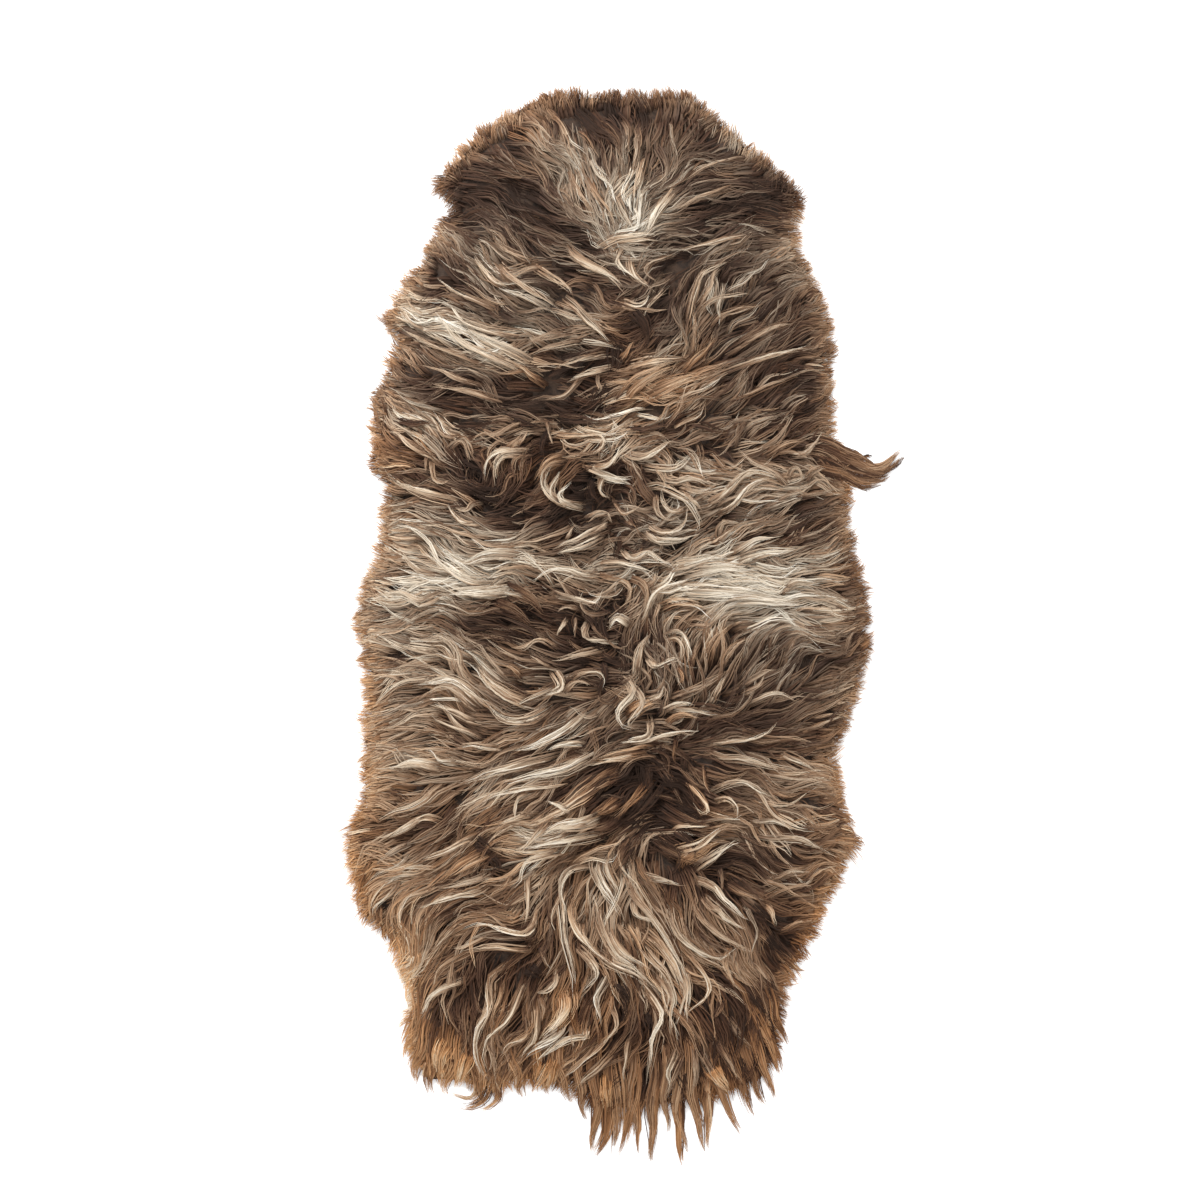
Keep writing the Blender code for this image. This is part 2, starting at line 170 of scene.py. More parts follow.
BACK_LIES = charted(
    Lie,
    (-180, 118, 155), (-130, 108, 180), (-60, 108, 204), (-265, 110, 170), (-255, 72, 165), (-200, 88, 142),
    (-150, 72, 180), (-220, 35, 192), (-150, 45, 178), (-90, 40, 152), (-130, 5, 178), (-90, -15, 150),
    (-265, 0, 180), (-205, -18, 170), (-150, -62, 136), (-180, -85, 145), (-110, -58, 175),
    (-250, -60, 176), (-250, -92, 192), (-80, -46, 188), (-100, -92, 195), (150, 95, 15), (220, 90, 12),
    (60, 70, 8), (100, 60, 12), (180, 58, 0), (260, 70, 15), (48, 22, 70), (72, 42, 22), (120, 35, 5),
    (200, 30, -3), (270, 20, -12), (85, 10, 16), (150, 0, 8), (110, -22, 58), (170, -20, 28), (250, -10, 5),
    (150, -70, 45), (210, -50, 25), (275, -40, 10), (200, -90, 12), (265, -80, 14), (55, -30, 95),
    (80, -55, 80),
)

LOIN_LIES = charted(
    Lie,
    (-250, -122, 190), (-200, -122, 154), (-140, -120, 170), (-90, -115, 200), (-60, -130, 216),
    (-120, -142, 182), (-270, -150, 210), (-255, -170, 184), (-200, -152, 176), (-150, -172, 202),
    (-100, -182, 200), (-120, -197, 198), (-200, -202, 214), (-270, -205, 200), (-60, -200, 220),
    (-150, -240, 198), (-230, -240, 192), (-285, -255, 212), (-180, -290, 208), (-230, -290, 205),
    (-150, -312, 202), (-130, -268, 216), (-95, -250, 196), (-30, -250, 206), (0, -190, 200), (50, -140, 8),
    (120, -138, 15), (120, -162, -16), (180, -162, -5), (235, -165, -14), (150, -190, 0), (205, -192, -6),
    (245, -205, -14), (170, -212, -10), (205, -225, -18), (240, -245, -30), (272, -258, -42),
    (215, -268, -26), (255, -288, -38), (100, -250, 26), (120, -272, 20), (180, -298, -10), (225, -302, 4),
    (70, -180, -30),
)

RUMP_LIES = charted(
    Lie,
    (-98, -292, 258), (-78, -275, 242), (-58, -292, 246), (-40, -325, 252), (5, -305, 290),
    (-20, -352, 272), (-270, -312, 228), (-285, -350, 250), (-200, -342, 206), (-150, -355, 178),
    (-200, -372, 226), (-130, -385, 188), (-232, -402, 240), (-200, -422, 236), (-140, -422, 246),
    (-100, -422, 250), (-62, -402, 264), (-35, -405, 298), (5, -440, 275), (110, -318, 318),
    (142, -338, 312), (45, -330, 294), (70, -352, 286), (100, -362, 302), (132, -362, 322), (32, -382, 300),
    (70, -392, 302), (110, -392, 318), (140, -405, 276), (172, -425, 308), (212, -402, 320),
    (225, -378, 338), (222, -348, 8), (40, -432, 300), (72, -442, 290), (110, -442, 290),
)

TAIL_LIES = charted(
    Lie,
    (-240, -455, 250), (-180, -455, 250), (-150, -475, 248), (-118, -482, 238), (-90, -472, 264),
    (-58, -468, 260), (-100, -505, 248), (-40, -522, 238), (0, -502, 254), (32, -502, 260), (62, -522, 264),
    (92, -522, 276), (122, -502, 290), (152, -502, 295), (182, -500, 302), (-200, -525, 256),
    (-160, -540, 264), (-80, -545, 262), (0, -572, 262), (52, -590, 270), (100, -590, 280),
    (142, -565, 300),
)

COMB_CHART = NECK_LIES + SHOULDER_LIES + BREAK_LIES + BACK_LIES + LOIN_LIES + RUMP_LIES + TAIL_LIES

# Patches that make the wool paler or darker: partly the coat's own pale and dark areas, partly painted shade
# in its creases and hollows, where the darkest patches lie over dips of the relief.
PALENESS_AND_SHADE_CHART = charted(
    Patch,
    (-130, 155, 60, 22, -10, -0.14), (-190, 268, 80, 16, -5, -0.12), (30, -400, 110, 75, 0, -0.13),
    (0, 180, 200, 50, 0, -0.05), (-130, 595, 60, 28, 30, -0.10), (-120, -180, 110, 90, 0, -0.04),
    (-20, -520, 240, 110, 0, -0.07), (-210, 0, 110, 130, 0, 0.06), (-250, -430, 18, 95, 0, 0.24),
    (150, 40, 150, 60, 3, 0.08), (-322, -320, 14, 50, 0, 0.10), (-250, -545, 30, 30, 0, 0.10),
    (-225, -200, 95, 210, 0, 0.07), (284, 40, 24, 62, 0, -0.16), (0, 625, 90, 25, 0, -0.14),
    (-5, 590, 38, 20, 90, -0.12), (-62, 575, 35, 18, -60, 0.14), (-42, 532, 42, 18, -65, 0.16),
    (18, 515, 45, 24, 100, 0.32), (45, 482, 32, 14, 30, 0.18), (-120, 600, 42, 13, -15, 0.12),
    (-180, 565, 40, 20, -30, 0.06), (-130, 525, 48, 22, -25, -0.18), (-190, 525, 40, 20, 0, -0.16),
    (-100, 478, 62, 28, -40, -0.18), (-190, 490, 32, 20, 0, -0.14), (75, 572, 50, 16, 25, -0.10),
    (120, 562, 45, 12, 15, 0.08), (100, 532, 42, 14, 15, -0.14), (180, 512, 58, 26, 10, -0.18),
    (120, 485, 52, 14, 15, -0.16), (60, 430, 40, 22, 20, -0.18), (-190, 425, 45, 18, -40, -0.08),
    (-185, 402, 60, 9, -15, -0.12), (-110, 382, 60, 16, -30, 0.12), (-200, 355, 50, 16, -30, 0.26),
    (-150, 326, 50, 13, -28, 0.30), (-110, 350, 45, 11, -5, 0.18), (-232, 366, 25, 12, 0, 0.14),
    (-60, 374, 36, 12, -25, 0.15), (-100, 298, 60, 18, 0, -0.14), (-28, 298, 36, 30, 80, -0.34),
    (-200, 285, 60, 18, -10, -0.12), (-80, 263, 70, 16, -5, -0.18), (12, 362, 32, 24, 90, -0.34),
    (170, 440, 52, 12, 10, 0.08), (180, 350, 55, 30, 30, -0.08), (205, 300, 52, 30, 20, -0.10),
    (40, 285, 46, 15, 12, 0.30), (30, 255, 40, 13, 5, 0.24), (200, 250, 52, 22, 20, -0.10),
    (65, 243, 36, 7, 0, -0.14), (-230, 240, 36, 17, -15, 0.22), (-90, 228, 22, 13, 90, -0.28),
    (-60, 238, 50, 9, 0, 0.22), (0, 215, 40, 14, 0, 0.26), (-172, 195, 36, 13, 0, -0.26),
    (-125, 160, 50, 19, 0, -0.20), (-82, 165, 30, 14, 90, 0.20), (-36, 168, 26, 18, 0, -0.24),
    (22, 178, 22, 16, 0, -0.18), (60, 192, 50, 11, -10, 0.20), (70, 145, 30, 28, 0, 0.14),
    (130, 165, 42, 17, 30, 0.18), (192, 166, 42, 17, 20, 0.14), (232, 120, 36, 14, 15, -0.10),
    (-110, 135, 62, 11, 0, -0.20), (-30, 134, 32, 10, 0, -0.16), (-150, 105, 60, 9, 0, 0.14),
    (-210, 80, 50, 16, -30, 0.18), (-168, 62, 56, 22, -10, 0.21), (-165, 38, 62, 13, 10, 0.19),
    (-240, 40, 50, 18, 0, 0.15), (-130, 5, 78, 23, 0, -0.26), (-60, -30, 52, 19, 0, -0.18),
    (-220, -24, 32, 9, 20, 0.14), (-40, 66, 52, 9, 0, 0.18), (0, 14, 32, 24, 0, -0.14),
    (118, 47, 86, 33, 3, 0.30), (205, 22, 60, 22, -6, 0.13), (70, 46, 36, 11, 20, 0.16),
    (110, -5, 42, 17, 20, 0.14), (215, -40, 62, 19, 15, -0.08), (30, -22, 22, 20, 0, -0.18),
    (-170, -70, 42, 24, -40, 0.12), (-10, -62, 32, 24, 90, -0.22), (16, -100, 25, 22, 90, 0.28),
    (160, -112, 64, 24, 10, -0.14), (-62, -134, 42, 13, 35, 0.26), (-18, -124, 26, 14, 30, -0.22),
    (-252, -165, 36, 11, 5, 0.22), (-112, -186, 62, 9, 18, 0.24), (-60, -214, 32, 13, 40, 0.26),
    (-190, -228, 48, 14, 0, -0.20), (-158, -260, 22, 13, 0, -0.30), (-143, -284, 15, 13, 0, -0.25),
    (-98, -250, 46, 13, 10, 0.34), (-100, -282, 26, 18, 80, 0.28), (0, -180, 62, 22, 10, -0.20),
    (38, -202, 46, 34, 80, -0.34), (75, -218, 32, 24, 0, -0.18), (195, -170, 62, 13, -10, 0.10),
    (172, -202, 42, 9, -10, 0.10), (108, -246, 42, 7, 28, 0.16), (90, -286, 36, 13, 0, -0.28),
    (160, -276, 42, 19, 0, -0.18), (-20, -312, 42, 36, 90, 0.14), (-5, -360, 42, 28, 80, 0.16),
    (45, -372, 62, 22, -62, 0.18), (85, -382, 60, 18, -55, 0.14), (140, -340, 42, 13, -40, 0.12),
    (-140, -354, 52, 7, -5, 0.12), (-172, -330, 52, 11, 10, -0.14), (-250, -292, 42, 18, 30, 0.08),
    (-150, -415, 56, 22, 20, -0.22), (-100, -414, 18, 14, 0, -0.22), (190, -386, 18, 16, 0, -0.38),
    (174, -346, 26, 17, 0, -0.24), (140, -410, 36, 13, 90, 0.12), (60, -430, 32, 28, 0, 0.12),
    (0, -422, 42, 24, 0, 0.10), (125, -470, 60, 30, -60, -0.16), (172, -470, 52, 24, -60, -0.16),
    (-92, -450, 30, 12, 90, 0.18), (-72, -492, 36, 9, 30, 0.24), (-190, -470, 52, 24, 60, -0.12),
    (20, -480, 32, 26, 0, -0.12), (60, -545, 70, 45, 0, -0.12), (-20, -545, 60, 28, 80, -0.08),
    (150, -530, 50, 24, -60, -0.16), (-200, -532, 26, 18, 80, 0.12), (-110, -552, 36, 13, 0, 0.14),
    (122, -546, 22, 14, -50, 0.16),
)

WARMTH_CHART = charted(
    Patch,
    (0, -500, 300, 130, 0, 0.36), (0, -260, 340, 160, 0, 0.20), (0, 200, 340, 60, 0, 0.10),
    (40, 280, 60, 30, 10, 0.35), (-110, 300, 40, 20, -30, 0.30), (95, 325, 30, 20, 60, 0.30),
    (0, 345, 30, 40, 0, 0.30), (-110, 195, 60, 25, 0, 0.25), (-250, 205, 50, 30, 0, 0.25),
    (-90, 25, 60, 25, 0, 0.15), (60, 30, 30, 30, 0, 0.20), (110, -20, 30, 30, 0, 0.20),
    (-200, -532, 30, 30, 0, 0.50), (-110, -552, 50, 18, 0, 0.50), (122, -546, 30, 20, 0, 0.45),
    (-62, -450, 16, 40, 0, 0.40), (-20, -565, 20, 30, 0, 0.45), (-262, -430, 30, 90, 0, 0.50),
    (-318, -320, 22, 60, 0, 0.30), (-300, -190, 36, 210, 0, 0.20), (-200, -200, 70, 200, 0, 0.10),
    (245, -330, 34, 120, 0, 0.20), (215, -385, 40, 40, 0, 0.25), (-130, 600, 80, 25, 25, 0.20),
    (-100, 450, 200, 100, 0, -0.08), (150, 480, 130, 130, 0, -0.10), (180, -60, 120, 60, 0, -0.06),
)

CURL_CHART = charted(
    Patch,
    (10, 100, 50, 160, 0, 0.9), (0, 200, 200, 36, 0, 0.7), (-120, 185, 80, 26, 0, 0.4),
    (30, -80, 45, 90, 0, 0.8), (20, 440, 60, 50, 0, 0.5), (90, 385, 30, 50, 0, 0.5),
    (120, -215, 50, 24, 0, 0.8), (150, -395, 40, 50, 0, 0.6), (-110, -290, 40, 50, 0, 0.5),
    (-130, -430, 70, 60, 0, 0.5), (-30, 510, 60, 50, 0, 0.3),
)

RELIEF_CHART = charted(
    Patch,
    (-60, -250, 70, 30, 40, 6), (0, -350, 90, 45, 90, 6), (-130, 25, 80, 35, 0, 5),
    (150, 50, 110, 35, 5, 6), (40, 140, 40, 35, 0, 5), (-60, 190, 90, 20, 0, 6), (38, -200, 45, 35, 90, -9),
    (15, 350, 20, 50, 0, -8), (-28, 298, 36, 24, 80, -6), (-180, 350, 80, 26, -28, 5),
    (18, 515, 50, 30, 100, 5), (190, -386, 22, 22, 0, -8), (0, 252, 280, 9, 0, -6),
    (-90, 228, 22, 13, 0, -5), (190, 300, 60, 40, 20, 3), (-190, -90, 60, 30, -35, 4),
    (200, -60, 80, 30, 15, 3), (-80, 470, 70, 40, -40, -5),
)


def linear(red: int, green: int, blue: int) -> tuple:
    """Turn a screen colour into scene-linear light.

    Args:
        red: red, 0 to 255.
        green: green, 0 to 255.
        blue: blue, 0 to 255.

    Returns:
        The colour as red, green, blue and alpha, 0 to 1.
    """
    shares = [channel / 255.0 for channel in (red, green, blue)]
    light = [share / 12.92 if share <= 0.04045 else ((share + 0.055) / 1.055) ** 2.4 for share in shares]
    return (*light, 1.0)


def ease(value: np.ndarray) -> np.ndarray:
    """Ease a share in and out.

    Args:
        value: 0 at the start to 1 at the end, held there beyond.

    Returns:
        The eased share.
    """
    share = np.clip(value, 0.0, 1.0)
    return share * share * (3.0 - 2.0 * share)


def sideways(path: np.ndarray) -> np.ndarray:
    """Find the level direction across each line at its points.

    Args:
        path: the points of each line.

    Returns:
        The x and y of a unit vector to the line's left at each point.
    """
    way = np.gradient(path[:, :, :2], axis=1)
    way /= np.linalg.norm(way, axis=2, keepdims=True) + TINY
    return np.stack([-way[:, :, 1], way[:, :, 0]], axis=2)


def put_in_scene(name: str, data: bpy.types.ID) -> bpy.types.Object:
    """Put a mesh, a lamp or a camera into the scene.

    Args:
        name: the new object's name.
        data: what it is made of.

    Returns:
        The new object.
    """
    made = bpy.data.objects.new(name, data)
    bpy.context.scene.collection.objects.link(made)
    return made


def start_material(name: str) -> tuple:
    """Start a node material.

    Args:
        name: the material's name.

    Returns:
        The material, its node tree and its shader.
    """
    material = bpy.data.materials.new(name)
    material.use_nodes = True
    return material, material.node_tree, material.node_tree.nodes["Principled BSDF"]


def add_ramp(tree: bpy.types.NodeTree, stops: tuple) -> bpy.types.Node:
    """Add a colour ramp.

    Args:
        tree: the material's nodes.
        stops: place and screen colour of each stop.

    Returns:
        The ramp node.
    """
    node = tree.nodes.new("ShaderNodeValToRGB")
    elements = node.color_ramp.elements
    while len(elements) < len(stops):
        elements.new(0.5)
    for element, (place, colour) in zip(elements, stops):
        element.position = place
        element.color = linear(*colour)
    return node


class SoftNoise:
    """Soft random values from -1 to 1 over the skin, read from a seeded lattice."""

    def __init__(self, seed: int, cell: float) -> None:
        """Draw the lattice.

        Args:
            seed: seed of the draw.
            cell: lattice spacing in metres.
        """
        self.cell = cell
        self.count = int(2.0 * NOISE_REACH / cell) + 4
        self.lattice = np.random.default_rng(seed).uniform(-1.0, 1.0, (self.count, self.count))

    def at(self, x: np.ndarray, y: np.ndarray) -> np.ndarray:
        """Read the noise.

        Args:
            x: places across the skin.
            y: places along the skin.

        Returns:
            A value from -1 to 1 for each place.
        """
        column = np.clip((x + NOISE_REACH) / self.cell, 0.0, self.count - 1.001)
        row = np.clip((y + NOISE_REACH) / self.cell, 0.0, self.count - 1.001)
        left = column.astype(int)
        low = row.astype(int)
        across = ease(column - left)
        along = ease(row - low)
        lower = self.lattice[low, left] * (1.0 - across) + self.lattice[low, left + 1] * across
        upper = self.lattice[low + 1, left] * (1.0 - across) + self.lattice[low + 1, left + 1] * across
        return lower * (1.0 - along) + upper * along


class PatchField:
    """The sum of a chart's soft patches."""

    def __init__(self, chart: tuple) -> None:
        """Keep the chart.

        Args:
            chart: the patches.
        """
        self.chart = chart

    def at(self, x: np.ndarray, y: np.ndarray) -> np.ndarray:
        """Sum the patches.

        Args:
            x: places across the skin.
            y: places along the skin.

        Returns:
            The summed strength at each place.
        """
        total = np.zeros_like(x)
        for patch in self.chart:
            cosine = math.cos(math.radians(patch.angle))
            sine = math.sin(math.radians(patch.angle))
            aside = x - patch.x * MM
            ahead = y - patch.y * MM
            along = (aside * cosine + ahead * sine) / (patch.half_length * MM)
            across = (ahead * cosine - aside * sine) / (patch.half_width * MM)
            total += patch.strength * np.exp(-(along**2) - across**2)
        return total


NECK_STROKES = charted(
    Stroke,
    (4, 0.82, 0.35, (75, 532, 43, 487, 33, 466)),
    (3, 0.84, 0.35, (60, 520, 38, 484, 31, 462)),
    (3, 0.8, 0.35, (-4, 518, 3, 497, 21, 469)),
    (3.5, 0.66, 0.5, (-44, 546, -24, 508, -8, 490, -6, 474)),
    (3, 0.62, 0.45, (-62, 552, -42, 508, -26, 490)),
    (3.5, 0.62, 0.4, (-124, 601, -98, 598, -84, 586, -77, 574)),
    (3.5, 0.6, 0.35, (-70, 600, -56, 556, -44, 536)),
    (3, 0.58, 0.4, (18, 600, 22, 575, 14, 530)),
    (4.5, 0.7, 0.45, (30, 560, 16, 505)),
    (4.5, 0.78, 0.4, (-32, 444, -14, 459, 12, 465, 48, 467)),
    (3.5, 0.72, 0.5, (-24, 440, -4, 455, 22, 459, 52, 458)),
    (3.5, 0.8, 0.35, (8, 458, -3, 440, 2, 427, 30, 407)),
    (3, 0.72, 0.4, (14, 448, 12, 432, 20, 415, 44, 396)),
    (2.5, 0.56, 0.35, (70, 445, 34, 429, 36, 416, 48, 408)),
    (2.5, 0.58, 0.35, (180, 474, 60, 444)),
    (2.5, 0.6, 0.35, (160, 560, 130, 556, 100, 545, 75, 528)),
    (2.5, 0.56, 0.35, (150, 528, 90, 508, 62, 492)),
)

SHOULDER_STROKES = charted(
    Stroke,
    (7, 0.84, 0.35, (-92, 290, -123, 308, -184, 336, -201, 350, -220, 380)),
    (6, 0.76, 0.35, (-84, 298, -112, 318, -205, 362)),
    (5, 0.7, 0.35, (-96, 342, -160, 352, -190, 366, -212, 372)),
    (3.5, 0.7, 0.4, (-132, 372, -167, 384, -210, 407, -222, 422)),
    (3, 0.78, 0.4, (-130, 402, -146, 409, -158, 419, -176, 446)),
    (3, 0.6, 0.4, (-98, 431, -133, 447, -155, 468)),
    (4, 0.66, 0.4, (-154, 450, -142, 427, -124, 411, -66, 374)),
    (4, 0.70, 0.45, (-108, 432, -60, 402, -55, 389)),
    (4, 0.72, 0.4, (-66, 463, -57, 445, -35, 429, -14, 420, 1, 407, 8, 393)),
    (4, 0.74, 0.4, (-64, 392, -10, 337)),
    (3, 0.62, 0.35, (-40, 304, -60, 278, -76, 272, -103, 269)),
    (2.5, 0.62, 0.35, (-22, 312, -26, 292, -23, 281, -50, 268)),
    (3, 0.68, 0.35, (0, 308, -28, 304, -64, 291)),
    (3, 0.7, 0.35, (-6, 325, -41, 319, -80, 305)),
    (3.5, 0.62, 0.35, (-36, 340, -72, 335, -116, 320)),
    (3.5, 0.6, 0.4, (-46, 352, -72, 349, -120, 336)),
    (3, 0.6, 0.4, (-140, 304, -232, 340, -252, 356)),
    (3, 0.58, 0.4, (-150, 282, -186, 292, -216, 306, -246, 312)),
    (3, 0.58, 0.4, (-120, 260, -182, 280, -246, 290)),
    (4, 0.56, 0.6, (-88, 288, -132, 318)),
    (4, 0.62, 0.4, (78, 346, 94, 410, 104, 424, 138, 436)),
    (3, 0.62, 0.4, (86, 372, 108, 404, 112, 418, 124, 430)),
    (3, 0.68, 0.35, (86, 350, 92, 370, 102, 382, 116, 390, 158, 396)),
    (3.5, 0.58, 0.4, (104, 345, 116, 362, 130, 374, 176, 384)),
    (4, 0.62, 0.4, (100, 294, 155, 315, 214, 331, 244, 334)),
    (3, 0.56, 0.4, (120, 320, 170, 350, 196, 360, 222, 364)),
    (3, 0.54, 0.4, (110, 262, 140, 270, 200, 296, 230, 300)),
    (9, 0.66, 0.62, (-6, 262, 18, 290, 46, 305, 80, 317)),
    (5, 0.72, 0.5, (2, 306, 58, 317, 84, 317)),
    (7, 0.62, 0.6, (16, 262, 48, 282, 82, 296, 118, 302)),
    (5, 0.54, 0.62, (58, 286, 124, 352)),
    (4, 0.6, 0.45, (-16, 386, 25, 376, 50, 375, 66, 378)),
    (3, 0.8, 0.4, (4, 388, 20, 383, 32, 387, 38, 397)),
    (5, 0.56, 0.65, (2, 316, 18, 340)),
)

BREAK_STROKES = charted(
    Stroke,
    (3, 0.72, 0.45, (-213, 196, -241, 210, -269, 232, -285, 234)),
    (2.5, 0.62, 0.4, (-203, 210, -192, 221, -183, 222, -170, 196)),
    (2.5, 0.62, 0.4, (-208, 206, -196, 218, -186, 218, -177, 194)),
    (2, 0.7, 0.45, (-229, 200, -231, 180)),
    (2, 0.7, 0.45, (-224, 200, -222, 175, -208, 172, -195, 177)),
    (5, 0.74, 0.42, (-176, 146, -213, 153, -255, 166, -270, 174, -282, 190)),
    (2.5, 0.75, 0.4, (-159, 120, -187, 122, -197, 131, -204, 146)),
    (2.5, 0.72, 0.4, (-165, 148, -176, 146, -183, 138, -201, 141)),
    (4, 0.72, 0.4, (-95, 214, -111, 207, -131, 209, -147, 206, -157, 196, -161, 184, -159, 168)),
    (4, 0.7, 0.4, (-99, 206, -137, 204, -145, 196, -148, 184, -145, 166)),
    (4, 0.52, 0.45, (-108, 205, -120, 203, -127, 192, -128, 176)),
    (4, 0.5, 0.45, (-102, 200, -112, 198, -116, 186, -114, 170)),
    (5, 0.8, 0.38, (-33, 144, -70, 148, -91, 168, -84, 190, -70, 202)),
    (2.5, 0.86, 0.35, (-70, 148, -80, 157, -78, 170, -69, 185)),
    (2.5, 0.86, 0.35, (-43, 140, -63, 146, -73, 155, -69, 162, -55, 171)),
    (6, 0.62, 0.55, (-60, 200, -78, 196, -92, 186, -100, 172)),
    (2.5, 0.7, 0.45, (-62, 214, -45, 224, -23, 226, -18, 217, -26, 207, -42, 204)),
    (3, 0.7, 0.45, (-84, 230, -51, 226, -31, 229, -8, 226)),
    (1.5, 0.7, 0.4, (-86, 242, -79, 216)),
    (2, 0.75, 0.4, (-122, 213, -108, 233)),
    (4, 0.62, 0.45, (-100, 237, -119, 239, -150, 226, -163, 229, -180, 219)),
    (4, 0.68, 0.5, (-134, 211, -112, 231)),
    (3.5, 0.8, 0.38, (26, 158, 40, 168, 80, 151, 98, 122, 91, 106)),
    (2.5, 0.74, 0.38, (82, 143, 71, 136, 57, 139, 49, 151, 52, 163)),
    (2.5, 0.78, 0.38, (32, 130, 40, 117, 54, 111, 71, 116, 80, 129, 81, 141)),
    (4, 0.82, 0.35, (29, 124, 39, 106, 56, 100, 98, 108)),
    (2.5, 0.75, 0.38, (75, 164, 101, 132)),
    (2.5, 0.7, 0.4, (45, 158, 44, 143, 50, 131, 62, 126, 72, 132)),
    (4, 0.8, 0.35, (98, 136, 119, 134, 133, 141, 157, 167, 171, 175, 195, 175)),
    (4, 0.76, 0.38, (108, 147, 123, 155, 150, 182, 176, 182, 197, 174)),
    (3, 0.7, 0.4, (98, 145, 119, 153, 147, 183)),
    (3, 0.68, 0.4, (208, 157, 195, 175, 150, 201, 139, 214)),
    (3.5, 0.78, 0.38, (22, 192, 47, 187, 68, 187, 93, 212)),
    (4, 0.76, 0.4, (1, 212, 13, 203, 30, 201, 59, 218, 76, 219)),
    (4, 0.74, 0.42, (-38, 191, -20, 191, -6, 201, 2, 214)),
    (4, 0.78, 0.38, (42, 180, 66, 172, 85, 175, 123, 165)),
    (3, 0.75, 0.4, (70, 166, 92, 160, 112, 160)),
    (3, 0.85, 0.35, (-42, 190, -4, 176, 25, 178)),
    (2.5, 0.85, 0.35, (-30, 180, 17, 167)),
    (3, 0.75, 0.4, (-18, 180, -23, 168, -20, 158, -9, 152)),
    (1.5, 0.65, 0.4, (-8, 153, 1, 136, 11, 134, 31, 149)),
    (5, 0.62, 0.5, (175, 200, 205, 218, 226, 223)),
    (3, 0.76, 0.38, (203, 205, 224, 206, 244, 232)),
    (4, 0.7, 0.38, (222, 174, 236, 187, 250, 192)),
    (3, 0.6, 0.38, (209, 151, 268, 166)),
    (2, 0.68, 0.35, (203, 170, 204, 184, 212, 190, 218, 180, 216, 168)),
)

